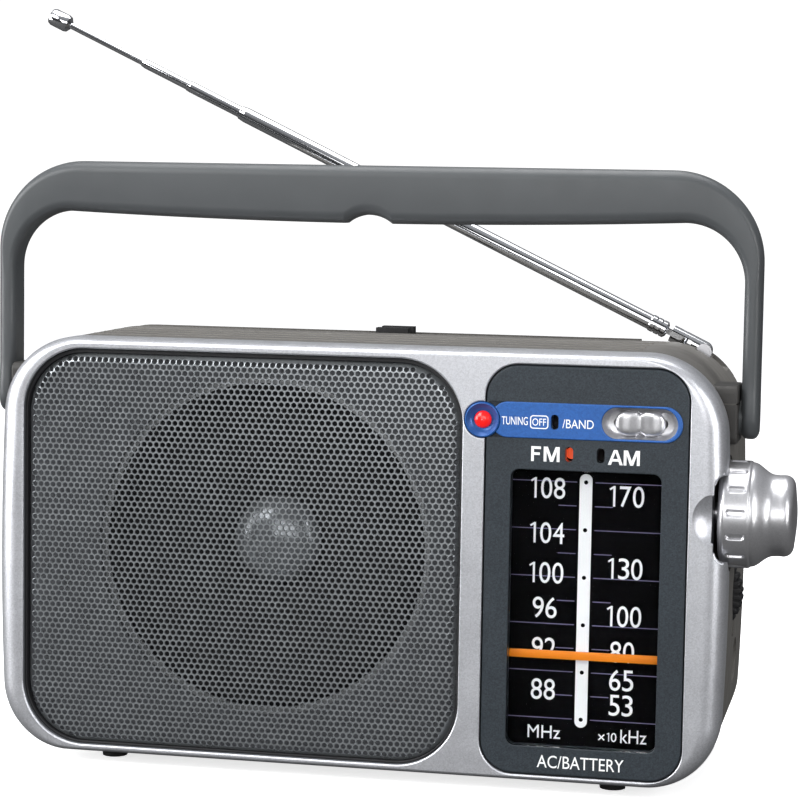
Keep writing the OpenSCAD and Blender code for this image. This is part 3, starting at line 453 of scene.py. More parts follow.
# wall behind the knob's recess
well = revolve("w", [(0.0001, W - 6.8), (18.6, W - 6.8), (18.6, W - 1), (0.0001, W - 1)], "x", (KY, KZ), 96)
clip = loft("k", [place(outline(0.9, 1.2), YF + 1.2, "y"), place(outline(0.9, 1.2), YP, "y")])
well = boolean(well, [clip], "INTERSECT")
front = boolean(front, [well], "UNION")
front = boolean(front, [
    flare("g", rr(GX0, GX1, GZ0, GZ1, GR, 24), YF, YF + 4.6, 0.55),
    plate("s", circ(SX, SZ, 49.5, 128), YF - 1, YF + 10),
    flare("p", rr(PX0, PX1, PZ0, PZ1, PR, 20), YF, YF + 3, 0.45),
    plate("q", rr(PX0 + 3, PX1 - 3, PZ0 + 3, PZ1 - 3, 6.5), YF - 1, YF + 12),
    flare("l", circ(LX, LZ, 5.2, 72), YF, YF + 3, 0.4),
    revolve("d", [(max(0.0001, 11.5 * math.sin(math.radians(a))), YF - 8.36 - 11.5 * math.cos(math.radians(a))) for a in np.linspace(0, 180, 61)], "y", (105.1, KZ), 120),
    flare("n", rr(103.5, W + 10, KZ - 12.2, KZ + 12.2, 2.6, 10), YF + 2.35, YF + 6, 0.5, out=8),
    knob_cup("cu", W - 4.6)])
weld(front)
done(front, "cabinet", M["silver_shell"], ["front_cabinet"], angle=34)
# painted shade: faces inside the grille, panel and lamp recesses and the shell's inner faces get the dark grey instead
# of silver
second(front, M["painted_shade_recess"], lambda c, n: (c.y > YF + 0.9 and in_rr(c.x, c.z, GX0, GX1, GZ0, GZ1, GR, 0.05))
       or (c.y > YF + 0.6 and in_rr(c.x, c.z, PX0, PX1, PZ0, PZ1, PR, 0.05))
       or (c.y > YF + 0.6 and math.hypot(c.x - LX, c.z - LZ) < 5.4) or (c.y > YF + 5.5 and n.y > 0.5))

# rear shell
rings = [place(outline(0.75, 0.45), YP + 0.02, "y"), place(outline(0.4, 0.1), YP + 0.4, "y")]
rings += [place(outline(0.4, 0.1), y, "y") for y in (-18, -4, 10, 22)]
for k in range(15):
    f = math.radians(90 * (14 - k) / 14)
    rings.append(place(outline(0.4 + 4.8 * (1 - math.sin(f)), 0.1 + 4.5 * (1 - math.sin(f))), YR - 7 + 7 * math.cos(f), "y"))
rear = loft("rear_shell", rings)
cav = loft("c", [place(outline(2.9, 2.6), YP - 2, "y"), place(outline(2.9, 2.6), YR - 7, "y"), place(outline(5, 4.8), YR - 3.2, "y"), place(outline(6.9, 6.5), YR - 2.5, "y")])
rear = boolean(rear, [cav])
clip = lambda n, y0, y1, ex, ez: loft(n, [place(outline(ex, ez), y0, "y"), place(outline(ex, ez), y1, "y")])
trough = boolean(plate("t", rr(-110, 110, 111.6, 122, 1), 19.5, YR - 1), [clip("k", 0, YR, 1, 0.6)], "INTERSECT")
well = boolean(revolve("w", [(0.0001, W - 6.8), (18.6, W - 6.8), (18.6, W - 1), (0.0001, W - 1)], "x", (KY, KZ), 96),
               [clip("k", YP + 0.02, YR - 2, 0.9, 1)], "INTERSECT")
adds = [trough, well,
        plate("e", rr(94, 105.2, 20, 38, 2), -2, 20), plate("m", rr(66, 92, 11, 29, 2), YR - 14, YR - 1)]
for s in (-1, 1):
    x0, x1 = (99.6, 107.9) if s > 0 else (-107.9, -99.6)
    adds.append(plate("sh", rr(PIVY - 9, PIVY + 9, 96.9, 113.5, 2.2, 8), x0, x1, 0.8, 0.8, "x"))
for y in (-20.5, -11, -1.5, 8):
    adds.append(plate("r", rr(y, y + 0.9, H - 1, H + 0.25, 0.3, 3), -84, 80, 0.2, 0.2, "x", 2))
rear = boolean(rear, adds, "UNION")
cuts = [knob_cup("cu", W - 4.6),
        plate("sf", circ(KY, KZ, 3.2, 40), 90, W + 2, axis="x")]
for s in (-1, 1):
    a, b = (96, 110) if s > 0 else (-110, -96)
    cuts.append(plate("b", circ(PIVY, PIVZ, 5.05, 48), a, b, axis="x"))
    # seam round each shoulder
    a, b = (107.35, 109) if s > 0 else (-109, -107.35)
    cuts.append(plate("se", rr(PIVY - 10, PIVY + 10, 108.2, 108.65, 0.1, 2), a, b, axis="x"))
    cuts.append(plate("sg", rr(99, 109, 108.2, 108.65, 0.1, 2) if s > 0 else rr(-109, -99, 108.2, 108.65, 0.1, 2), PIVY - 10, PIVY - 8.5))
cuts.append(plate("vs", rr(VX + 3, W + 2, VZ - 12.6, VZ + 12.6, 0.8), VY - 3.6, VY + 3.6))
sph = revolve("v", [(max(0.0001, 14.6 * math.sin(math.radians(a))), W + 12.4 - 14.6 * math.cos(math.radians(a))) for a in np.linspace(0, 180, 49)], "x", (VY, VZ), 96)
cuts.append(sph)
# trough, its swivel pocket and the notch in the rear edge
tr = boolean(plate("t", rr(22.5, 35.5, 114, H + 6, 1.2, 4), -110, 101, axis="x"), [plate("u", circ(101, 120.5, 6.5, 48), 22.5, 35.5)], "UNION")
tr = boolean(tr, [plate("u", circ(SWX, SWZ, 2.9, 40), 20, 26.1), plate("u", circ(SWX, SWZ, 2.9, 40), 31.9, 37)])
cuts += [tr, plate("n", rr(73, 89.4, 119.2, H + 6, 1), 30, YR + 1),
         plate("p1", circ(SWX, SWZ, 1.3, 32), 20, 38), plate("p2", circ(SWX, SWZ, 2.6, 32), 18, 23.9)]
for x in (-97, 97):
    for z in (16, 92):
        cuts.append(flare("h", circ(x, z, 3.5, 32), YR, YR - 13, 0.4, out=1, sign=-1))
B0, B1 = box_mm("battery_door")
cuts += [plate("bo", rr(-62, 56, 11.6, 48.2, 1), YR - 6, YR + 1),
         flare("bd", rr(B0[0] - 0.35, B1[0] + 0.35, 9.55, 50.15, 1.2), YR, YR - 3.2, 0.3, out=1, sign=-1),
         flare("ep", circ(9, 29, 7, 48), W + 0.4, W - 2.6, 0.3, axis="x", out=3, sign=-1),
         plate("eh", circ(9, 29, 3.9, 40), 92, W + 4, axis="x"),
         flare("in", rr(69, 89, 14, 26, 2), YR, YR - 15, 0.5, out=1, sign=-1)]
for i in range(11):
    cuts.append(flare("sl", rr(-80 + i * 12, -78 + i * 12, 62, 84, 0.98, 6), YR, YR - 4, 0.3, out=1, sign=-1, seg=3))
for x in (-75, 75):
    for y in (-24.6, 24):
        cuts.append(plate("f", circ(x, y, 3.05, 32), -1, 1.4, axis="z"))
rear = boolean(rear, cuts)
weld(rear)
done(rear, "cabinet", M["dark_shell"], ["rear_cabinet"], angle=34)
zs_ = np.linspace(96, 114, 19)
xs_ = [W - 0.4 - (0 if z < H - 0.1 - R_TOP else 21.75 - math.sqrt(max(0, 21.75 ** 2 - (z - (H - 0.1 - 21.75)) ** 2))) - BARREL * (z - MIDZ) ** 2 for z in zs_]
second(rear, M["shoulder_black"], lambda c, n: abs(c.y - PIVY) < 9.03 and 96.8 < c.z < 113.6 and abs(c.x) > np.interp(c.z, zs_, xs_) + 0.12)

# ---------------------------------------------------------------- speaker grille
PITCH, ROW = 1.86, 1.86 * math.sqrt(3) / 2
gx0, gx1, gz0, gz1, gr = GX0 + 0.85, GX1 - 0.85, GZ0 + 0.85, GZ1 - 1.5, GR - 0.9


def inside(x, z):
    cx, cz = (gx0 + gx1) / 2, (gz0 + gz1) / 2
    dx, dz = abs(x - cx) - ((gx1 - gx0) / 2 - gr), abs(z - cz) - ((gz1 - gz0) / 2 - gr)
    return gr - (math.hypot(max(dx, 0), max(dz, 0)) + min(max(dx, dz), 0))


def snap(x, z):
    for _ in range(3):
        d = inside(x, z)
        if d >= 0:
            return x, z
        gx, gz = (inside(x + 0.01, z) - d) / 0.01, (inside(x, z + 0.01) - d) / 0.01
        n = math.hypot(gx, gz) or 1
        x, z = x - gx / n * d, z - gz / n * d
    return x, z


def sheet_y(x, z):
    r2 = (x + 33) ** 2 + (z - 61) ** 2
    d = max(0.0, inside(x, z))
    roll = 1.5 * (1 - d / 2.6) ** 2 if d < 2.6 else 0.0
    return YF + 2.2 - (0.2 + 1.6 * (1 - min(1.0, r2 / 86 ** 2))) + roll


NH, RH, RB, TH = 10, 0.80, 0.69, 0.45
hexa = [math.radians(30 + 60 * k) for k in range(6)]
ina = [math.radians(18 + 36 * k) for k in range(NH)]
ring_tris = []
events = sorted([(a, 1, k) for k, a in enumerate(hexa)] + [(a, 0, k) for k, a in enumerate(ina)])
i, j = NH - 1, 5
for a, kind, k in events:
    if kind == 0:
        ring_tris.append((("i", i), ("i", k), ("o", j)))
        i = k
    else:
        ring_tris.append((("o", j), ("i", i), ("o", k)))
        j = k
gv, gf, corner = [], [], {}


def corner_at(x, z):
    key = (round(x * 50), round(z * 50))
    for kx in (-1, 0, 1):
        for kz in (-1, 0, 1):
            q = corner.get((key[0] + kx, key[1] + kz))
            if q is not None:
                return q
    x2, z2 = snap(x, z)
    corner[key] = len(gv)
    gv.append((x2, sheet_y(x2, z2), z2))
    return corner[key]


CR = PITCH / math.sqrt(3)
rowsn, colsn = int((gz1 - gz0) / ROW / 2) + 2, int((gx1 - gx0) / PITCH / 2) + 2
solid_cells = []
for rz in range(-rowsn, rowsn + 1):
    for cx in range(-colsn - 1, colsn + 2):
        x = SX + (cx + (0.5 if rz % 2 else 0)) * PITCH + 0.4
        z = SZ + rz * ROW
        if inside(x, z) < -CR:
            continue
        pts = [(x + CR * math.cos(a), z + CR * math.sin(a)) for a in hexa]
        if inside(x, z) < 0.05 and not any(inside(*p) > 0.08 for p in pts):
            continue
        o = [corner_at(*p) for p in pts]
        if inside(x, z) > RH + 0.12:
            k0 = len(gv)
            for a in ina:
                px, pz = x + RH * math.cos(a), z + RH * math.sin(a)
                gv.append((px, sheet_y(px, pz), pz))
            for a in ina:
                px, pz = x + RB * math.cos(a), z + RB * math.sin(a)
                gv.append((px, sheet_y(x, z) + TH, pz))
            for t in ring_tris:
                f = [k0 + n if w == "i" else o[n] for w, n in t]
                if len(set(f)) == 3:
                    gf.append(tuple(f))
            for n in range(NH):
                m = (n + 1) % NH
                gf.append((k0 + m, k0 + n, k0 + NH + n, k0 + NH + m))
        else:
            f = []
            for n in o:
                if n not in f:
                    f.append(n)
            if len(f) > 2:
                solid_cells.append(tuple(f))
gf += solid_cells
grille = obj_from("grille_sheet", gv, gf, recalc=False)
bm = bmesh.new()
bm.from_mesh(grille.data)
bmesh.ops.dissolve_degenerate(bm, edges=bm.edges, dist=1e-6)
rim = [e for e in bm.edges if e.is_boundary and all(abs(inside(v.co.x / MM, v.co.z / MM)) < 0.06 for v in e.verts)]
for dy, din in ((0.5, -0.10), (2.2, 0.0)):
    ext = bmesh.ops.extrude_edge_only(bm, edges=rim)
    nv = [g for g in ext["geom"] if isinstance(g, bmesh.types.BMVert)]
    for v in nv:
        v.co.y = max(v.co.y, v.co.y + dy * MM)
    rim = [g for g in ext["geom"] if isinstance(g, bmesh.types.BMEdge) and g.is_boundary]
for f in bm.faces:
    pass
bm.normal_update()
bm.to_mesh(grille.data)
bm.free()
gk = boolean(plate("gasket_ring", rr(GX0 + 0.05, GX1 - 0.05, GZ0 + 0.05, GZ1 - 0.05, GR - 0.05, 20), YF + 1.6, YF + 4.5, 0.25, 0),
             [flare("gi", rr(GX0 + 0.7, GX1 - 0.7, GZ0 + 0.7, GZ1 - 1.3, GR - 0.7, 20), YF + 1.6, YF + 6, 0.2, out=1, seg=3)])
done(weld(gk), "cabinet", M["black_trim"], ["grille_gasket"], angle=34)
done(grille, "cabinet", M["grille_mesh"], ["speaker_grille"], angle=30, weighted=False)

# ---------------------------------------------------------------- dial
bezel = plate("bezel", rr(PX0 + 0.35, PX1 - 0.35, PZ0 + 0.35, PZ1 - 0.35, PR - 0.35, 20), YF + 0.3, YF + 4.2, 0.55, 0)
slot_shape = rr(71.4, 92.6, 98.8, 107.6, 4.39, 16)
cuts = [flare("w", rr(WX0, WX1, WZ0, WZ1, 2.5, 10), YF + 0.3, YF + 6, 0.25),
        plate("b", rr(36, 94.1, 98.1, 108.3, 5.05, 16), YF - 2, YF + 1.3),
        plate("s", slot_shape, YF - 2, YF + 6),
        plate("l", circ(LX, LZ, 5.15, 64), YF - 2, YF + 6)]
for x, z in ((58.2, 102.9), (62.4, 93.9), (71.3, 93.9)):
    cuts.append(flare("o", rr(x - 1.1, x + 1.1, z - 2.1, z + 2.1, 1.09, 8), YF + 0.3, YF + 6, 0.15, seg=3))
bezel = weld(boolean(bezel, cuts))
done(bezel, "cabinet", M["slate_panel"], ["dial_bezel"], angle=34)

band = plate("band", rr(40, 94.05, 98.15, 108.25, 5.0, 20), YF - 0.02, YF + 1.28, 0.3, 0)
band = weld(boolean(band, [flare("s", slot_shape, YF - 0.02, YF + 3, 0.35), plate("l", circ(LX, LZ, 5.2, 64), YF - 2, YF + 6),
                      flare("o", rr(57.1, 59.3, 100.8, 105.0, 1.09, 8), YF - 0.02, YF + 3, 0.12, seg=3)]))
done(band, "cabinet", M["blue_strip"], ["band_strip"], angle=34)

# dished tray round the band switch
rings = [place(slot_shape(-0.02), YF + 0.5, "y"), place(slot_shape(-0.12), YF + 1.4, "y")]
for t in np.linspace(0.1, 1, 8):
    rings.append(place(slot_shape(-0.12 - 1.5 * t), YF + 1.4 + 1.9 * math.sin(t * math.pi / 2), "y"))
rings.append(place(slot_shape(-3.0), YF + 3.36, "y"))
back_side = [place(slot_shape(-3.0), YF + 3.7, "y"), place(slot_shape(-1.4), YF + 3.7, "y"), place(slot_shape(-0.02), YF + 2.2, "y")]
n = len(rings[0])
allr = rings + back_side
verts = [p for r in allr for p in r]
faces = [(k * n + i, k * n + (i + 1) % n, ((k + 1) % len(allr)) * n + (i + 1) % n, ((k + 1) % len(allr)) * n + i) for k in range(len(allr)) for i in range(n)]
tray = obj_from("band_slot_tray", verts, faces)
done(tray, "cabinet", M["silver_knob"], angle=40)

# two-humped slide knob
K0, K1 = box_mm("band_switch_knob")
kcx, kcz = (K0[0] + K1[0]) / 2, (99.7 + 106.7) / 2
nu, nv = 90, 28


def half_height(x):
    a = abs(x)
    h = 3.5 if a < 3.6 else math.sqrt(max(0.0, 3.5 ** 2 - (a - 3.6) ** 2))
    return max(0.02, h - 0.95 * max(0.0, 1 - a / 1.45))


def hump(x):
    a = abs(x)
    if a > 7.05:
        return 0.5
    if a < 4.3:
        return 1.05 + 0.92 * (0.5 - 0.5 * math.cos(math.pi * a / 4.3)) ** 0.8
    return 0.5 + 1.47 * math.sqrt(max(0.0, 1 - ((a - 4.3) / 2.8) ** 2))


top, low = [], []
for i in range(nu + 1):
    x = -7.09 + 14.18 * (0.5 - 0.5 * math.cos(math.pi * i / nu) if i in (0, nu) else i / nu)
    for k in range(nv + 1):
        v = -1 + 2 * k / nv
        v = math.copysign(1 - (1 - abs(v)) ** 1.6, v)
        e = max(0.0, 1 - abs(v) ** 5) ** 0.5
        top.append((kcx + x, YF + 2.6 - hump(x) * (0.35 + 0.65 * e), kcz + v * half_height(x)))
        low.append((kcx + x, YF + 3.4, kcz + v * half_height(x)))
nn = nv + 1
verts = top + low
off = len(top)
faces = []
for i in range(nu):
    for k in range(nv):
        a = i * nn + k
        faces.append((a, a + 1, a + nn + 1, a + nn))
        faces.append((off + a + nn, off + a + nn + 1, off + a + 1, off + a))
for i in range(nu):
    for k in (0, nv):
        a = i * nn + k
        faces.append((a, a + nn, off + a + nn, off + a))
for k in range(nv):
    for i in (0, nu):
        a = i * nn + k
        faces.append((a, a + 1, off + a + 1, off + a))
knob = obj_from("band_knob", verts, faces)
foot = plate("kf", rr(77.2, 86.8, 100.8, 105.6, 0.6, 4), YF + 3.3, YF + 4.6, 0, 0.1)
stem = plate("ks", rr(80.2, 83.8, 101.6, 104.8, 0.4, 4), YF + 4.5, YF + 12, 0, 0.1)
knob = join("band_knob", [knob, foot, stem])
done(knob, "band_switch", M["silver_knob"], ["band_switch_knob"], angle=38)

# indicator slide: one red pad shows through the small window of each switch position; the pads glow by emission,
# painted light, though they are no lamp
slide = [plate("i1", rr(55, 83.4, 91.9, 95.6, 0.4, 4), YF + 5, YF + 5.8, 0.15, 0), plate("i2", rr(57, 66.4, 95.7, 104.9, 0.4, 4), YF + 5, YF + 5.8, 0.15, 0),
         plate("i3", rr(78.6, 80.2, 95.7, 104.8, 0.3, 4), YF + 5, YF + 5.8, 0.15, 0)]
done(join("indicator_slide", slide), "band_switch", M["black_plastic"], ["band_flag"])
pads = [plate("ip", rr(x - 1.3, x + 1.3, z - 1.6, z + 1.6, 1.29, 8), YF + 4.5, YF + 4.98, 0.1, 0, seg=3) for x, z in ((61.4, 102.9), (62.4, 93.9), (68.1, 93.9))]
done(join("indicator_pads", pads), "band_switch", M["flag_red"])
D0, D1 = box_mm("dial_scale")
scale = plate("scale_plate", rr(WX0 - 1.2, WX1 + 1.2, WZ0 - 3, WZ1 + 1.6, 1.5, 8), YF + 6.4, YF + 7.4, 0.1, 0.1)
ears = [plate("e1", rr(x, x + 8, 5.9, 8.2, 0.3, 3), YF + 4.2, YF + 7.0, 0.1, 0) for x in (50, 72)]
ears.append(plate("e2", rr(42.4, 45, 76, 84, 0.3, 3), YF + 4.2, YF + 7.0, 0.1, 0))
scale = join("scale_plate", [scale] + ears)
done(scale, "cabinet", M["dial_black"], ["dial_scale"])

STX, STZ0, STZ1 = 66.6, 15.4, 88.0
strip = plate("dial_strip", rr(STX - 1.8, STX + 1.8, STZ0, STZ1, 1.79, 12), YF + 6.05, YF + 6.42, 0.15, 0)
LINE0, STEP = 85.6, 6.79
strip = boolean(strip, [flare("d", circ(STX, LINE0 - 2 * k * STEP, 0.62, 20), YF + 6.05, YF + 6.33, 0.12, out=1, seg=3) for k in range(6)])
done(weld(strip), "cabinet", M["strip_white"], angle=34)
dots = [plate("d", circ(STX, LINE0 - 2 * k * STEP, 0.60, 20), YF + 6.20, YF + 6.36, 0.04, 0, seg=2) for k in range(6)]
done(join("dial_dots", dots), "cabinet", M["dial_black"])

lines = []
yl = YF + 6.32
for k in range(11):
    z = LINE0 - k * STEP
    for a, b in (((WX0 - 0.6, 64.0), (69.2, WX1 + 0.6)) if k % 2 == 0 else ((58.9, 64.0), (69.2, 74.3))):
        lines.append(plate("l", rr(a, b, z - 0.11, z + 0.11, 0.05, 1), yl, yl + 0.1))
done(join("dial_lines", lines), "cabinet", M["print_violet"])


# ---------------------------------------------------------------- lettering
def text(s, cx, cz, w, h, y, depth=0.08, bold=0.0):
    """A generic word or number in Blender's own font, fitted to w by h millimetres at (cx, cz)."""
    cu = bpy.data.curves.new("t", "FONT")
    cu.body, cu.size, cu.resolution_u = s, 1.0, 5
    cu.offset = bold
    ob = bpy.data.objects.new("t", cu)
    scene.collection.objects.link(ob)
    dg = bpy.context.evaluated_depsgraph_get()
    dg.update()
    me = bpy.data.meshes.new_from_object(ob.evaluated_get(dg))
    bpy.data.objects.remove(ob)
    co = np.array([v.co for v in me.vertices])
    lo, hi = co.min(0), co.max(0)
    sx, sz = w / (hi[0] - lo[0]), h / (hi[1] - lo[1])
    verts = [(cx + (p[0] - (lo[0] + hi[0]) / 2) * sx, y, cz + (p[1] - (lo[1] + hi[1]) / 2) * sz) for p in co]
    bm = bmesh.new()
    bm.from_mesh(me)
    bm.verts.ensure_lookup_table()
    for v, p in zip(bm.verts, verts):
        v.co = p
    bmesh.ops.remove_doubles(bm, verts=bm.verts, dist=0.002)
    ext = bmesh.ops.extrude_face_region(bm, geom=list(bm.faces))
    for g in ext["geom"]:
        if isinstance(g, bmesh.types.BMVert):
            g.co.y -= depth
    bmesh.ops.recalc_face_normals(bm, faces=bm.faces)
    bm.verts.ensure_lookup_table()
    vs = [tuple(v.co) for v in bm.verts]
    bm.verts.index_update()
    fs = [tuple(v.index for v in f.verts) for f in bm.faces]
    bm.free()
    return obj_from("t", vs, fs, recalc=False)


def letter(loops, x0, z0, y, depth=0.08):
    """A flat sign made from outlines (the outer one first, then holes), in millimetres."""
    bm = bmesh.new()
    edges = []
    for lp in loops:
        vs = [bm.verts.new((x0 + p[0], y, z0 + p[1])) for p in lp]
        edges += [bm.edges.new((vs[k], vs[(k + 1) % len(vs)])) for k in range(len(vs))]
    bmesh.ops.triangle_fill(bm, edges=edges, use_beauty=True)
    ext = bmesh.ops.extrude_face_region(bm, geom=list(bm.faces))
    for g in ext["geom"]:
        if isinstance(g, bmesh.types.BMVert):
            g.co.y -= depth
    bmesh.ops.recalc_face_normals(bm, faces=bm.faces)
    bm.verts.ensure_lookup_table()
    bm.verts.index_update()
    vs = [tuple(v.co) for v in bm.verts]
    fs = [tuple(v.index for v in f.verts) for f in bm.faces]
    bm.free()
    return obj_from("t", vs, fs, recalc=False)


def one(h):
    return [[(p[0] * h, p[1] * h) for p in ((0.185, 0), (0.29, 0), (0.29, 1), (0.205, 1), (0.0, 0.865), (0.045, 0.79), (0.185, 0.875))]]


def number(s, cx, cz, w, h, y, pitch=3.7, dw=3.2):
    out, right = [], cx + w / 2
    for k, ch in enumerate(reversed(s)):
        r = right - k * pitch
        if ch == "1":
            out.append(letter(one(h), r - 0.75 - 0.29 * h, cz - h / 2, y))
        else:
            hh = h * (1.0 if ch == "7" else 1.03)
            out.append(text(ch, r - dw / 2, cz, dw * (0.97 if ch in "35" else 1.0), hh, y))
    return out


def sign_f(h, w, t):
    return [[(0, 0), (t, 0), (t, 0.42 * h), (0.9 * w, 0.42 * h), (0.9 * w, 0.42 * h + t * 0.95), (t, 0.42 * h + t * 0.95), (t, h - t * 0.95), (w, h - t * 0.95), (w, h), (0, h)]]


def sign_m(h, w, t):
    return [[(0, 0), (t, 0), (t, 0.70 * h), (w / 2 - 0.42, 0), (w / 2 + 0.42, 0), (w - t, 0.70 * h), (w - t, 0), (w, 0), (w, h), (w - 1.15, h), (w / 2, 0.31 * h), (1.15, h), (0, h)]]


def sign_a(h, w, t):
    return [[(0, 0), (0.9, 0), (1.2, 0.23 * h), (w - 1.2, 0.23 * h), (w - 0.9, 0), (w, 0), (w / 2 + 0.5, h), (w / 2 - 0.5, h)],
            [(1.43, 0.40 * h), (w / 2, 0.82 * h), (w - 1.43, 0.40 * h)]]


yd = YF + 6.36
items = []
for s_, z in (("108", 83.6), ("104", 70.8), ("100", 59.4), ("96", 49.4), ("92", 37.8), ("88", 25.9)):
    items += number(s_, 55.5, z, 10.4 if len(s_) == 3 else 7.0, 5.85, yd)
for s_, z in (("170", 82.0), ("130", 61.5), ("100", 47.9), ("80", 37.7), ("65", 29.6), ("53", 22.4)):
    items += number(s_, 77.9, z, 10.4 if len(s_) == 3 else 6.9, 5.85, yd)
items += [text("MHz", 56.1, 13.6, 9.4, 3.7, yd), text("×", 72.6, 13.0, 1.9, 1.9, yd), text("kHz", 81.7, 13.6, 7.4, 3.8, yd)]
items += [letter(one(2.5), 74.1, 11.9, yd), text("0", 76.1, 13.15, 1.6, 2.6, yd)]
done(join("dial_numbers", items), "cabinet", M["print_white"], weighted=False)
yb = YF + 0.30
items = [letter(sign_f(4.2, 2.75, 0.78), 51.7, 91.75, yb, 0.05), letter(sign_m(4.2, 4.5, 0.8), 55.25, 91.75, yb, 0.05),
         letter(sign_a(4.2, 4.2, 0.8), 73.35, 91.55, yb, 0.05), letter(sign_m(4.2, 4.5, 0.8), 77.75, 91.55, yb, 0.05),
         text("AC/BATTERY", 67.5, 6.4, 24.6, 3.6, yb, 0.05)]
done(join("panel_letters", items), "cabinet", M["print_white"], weighted=False)
yw = YF - 0.02
items = [text("TUNING", 46.9, 102.95, 7.4, 2.3, yw, 0.05), text("OFF", 53.85, 102.8, 3.9, 2.05, yw, 0.05), text("/BAND", 64.8, 102.6, 8.8, 2.5, yw, 0.05)]
frame_ring = boolean(plate("box", rr(51.25, 56.45, 100.9, 104.7, 0.9, 6), yw - 0.05, yw + 0.02), [plate("bi", rr(51.55, 56.15, 101.2, 104.4, 0.62, 6), yw - 1, yw + 1)])
items.append(frame_ring)
done(join("band_letters", items), "cabinet", M["print_white"], weighted=False)

# ---------------------------------------------------------------- handle
HX1 = box_mm("handle")[1][0]
GT = box_mm("handle")[1][2]
T = 5.0
XI = HX1 - T


def under(x):
    return GT - 16.8 + 1.5 * (x / 80) ** 2


def sect(o, i, b, rc, n=7):
    """A rounded section in the plane of the handle's thickness and Y."""
    o, i = np.array(o, float), np.array(i, float)
    a = np.linalg.norm(o - i) / 2
    e = (o - i) / (2 * a)
    m = (o + i) / 2
    r = min(rc, a * 0.97, b * 0.97)
    out = []
    for sx, sy, a0 in ((1, 1, 0), (-1, 1, 90), (-1, -1, 180), (1, -1, 270)):
        for k in range(n + 1):
            f = math.radians(a0 + 90 * k / n)
            u, v = sx * (a - r) + r * math.cos(f), sy * (b - r) + r * math.sin(f)
            out.append((m[0] + e[0] * u, PIVY + v, m[1] + e[1] * u))
    return out


secs = []
HB = 5.5
bot = PIVZ - 6.1


def arm_half(z):
    if z < PIVZ + 3:
        return math.sqrt(max(0.01, 6.1 ** 2 - (min(z, PIVZ) - PIVZ) ** 2))
    t = min(1.0, (z - PIVZ - 3) / 6)
    return 6.1 - 0.6 * (t * t * (3 - 2 * t))


half = []
for z in list(PIVZ - 6.1 * np.cos(np.radians(np.linspace(4, 90, 14)))) + list(np.linspace(PIVZ + 1.5, 134, 16)):
    q = min(1.0, (z - bot) / 2.4)
    sh = 1.9 * (1 - math.sqrt(max(0.0, 1 - (1 - q) ** 2)))
    half.append(((HX1 - sh, z), (XI + sh, z), arm_half(z), 2.45))
for t in np.linspace(0.08, 1, 8):
    half.append(((HX1, 134 + 13.6 * t), (XI, 134 + (under(XI - 17) - 17 - 134) * t), HB, 2.45 + 0.25 * t))
cz_i, cz_o = under(XI - 17) - 17, GT - 26
for k in range(1, 25):
    f = math.radians(90 * k / 24)
    half.append(((HX1 - 26 + 26 * math.cos(f), cz_o + 26 * math.sin(f)), (XI - 17 + 17 * math.cos(f), cz_i + 17 * math.sin(f)), HB, 2.7 + 0.8 * k / 24))
xs_i = list(np.linspace(XI - 17, 9, 24))[1:]
for x in xs_i:
    xo = x * (HX1 - 26) / (XI - 17)
    half.append(((xo, GT), (x, under(x)), HB, 3.5))
right_side = half
mid = []
for x in np.linspace(8.2, -8.2, 66):
    d = abs(x + 0.5)
    dip = math.sqrt(11.0 ** 2 - d * d) + (GT - 25.3)
    zi = max(under(x), dip)
    mid.append(((x, GT), (x, zi), HB, 3.5))
left_side = [((-o[0], o[1]), (-i[0], i[1]), b, r) for o, i, b, r in half][::-1]
secs = right_side + mid + left_side
handle = loft("carry_handle", [sect(*s) for s in secs])
stubs = []
for s in (-1, 1):
    prof = [(0.0001, 101.6), (4.6, 101.6), (4.98, 102.0), (4.98, 109.5), (0.0001, 109.5)]
    stubs.append(revolve("st", [(r, s * t) for r, t in prof], "x", (PIVY, PIVZ), 48))
handle = join("carry_handle", [handle] + stubs)
done(handle, "handle", M["handle_slate"], ["handle"], angle=40, weighted=False)

# ---------------------------------------------------------------- tuning knob
KX0, KX1 = box_mm("tuning_knob")[0][0], box_mm("tuning_knob")[1][0]
NG = 14
prof = [(3.05, KX0 + 3.0), (3.05, KX0), (12.9, KX0), (13.9, KX0 + 0.25), (14.7, KX0 + 0.8), (15.05, KX0 + 1.3), (15.2, KX0 + 1.8)]
for t in np.linspace(0, 1, 34)[1:]:
    prof.append((15.2, KX0 + 1.8 + (W + 4.9 - KX0 - 1.8) * t))
prof += [(15.12, W + 5.25), (14.9, W + 5.5), (14.75, W + 5.62)]
for t in np.linspace(0, 1, 22)[1:]:
    prof.append((11.5 + 3.25 * (0.5 + 0.5 * math.cos(math.pi * t)) ** 1.12, W + 5.62 + 6.6 * t))
prof += [(11.42, W + 13.2), (11.48, W + 14.2), (11.5, W + 14.7)]
for k in range(1, 9):
    f = math.radians(90 * k / 8)
    prof.append((11.5 - 2.9 * (1 - math.cos(f)), W + 14.7 + 2.8 * math.sin(f)))
for t in np.linspace(0, 1, 9)[1:]:
    prof.append((max(0.0001, 8.6 * (1 - t)), W + 17.5 + 0.72 * math.sin(t * math.pi / 2)))
gx_a, gx_b, gw = KX0 + 2.6, W + 4.4, 0.85


def knurl(r, x, a):
    if r < 15.0 or x > W + 5.3:
        return r
    step = 2 * math.pi / NG
    d = (a + math.radians(8) + step / 2) % step - step / 2
    u = d * 15.2
    ex = max(gx_a + gw - x, x - (gx_b - gw), 0)
    q = math.hypot(u, ex) / gw
    if q >= 1.25:
        return r
    if q <= 0.72:
        return r - 0.75
    t = (q - 0.72) / 0.53
    return r - 0.75 * (0.5 + 0.5 * math.cos(math.pi * t))


tk = revolve("knob_tuning", prof, "x", (KY, KZ), NG * 28, knurl)
done(tk, "tuning", M["silver_knob"], ["tuning_knob"], angle=50, weighted=False)

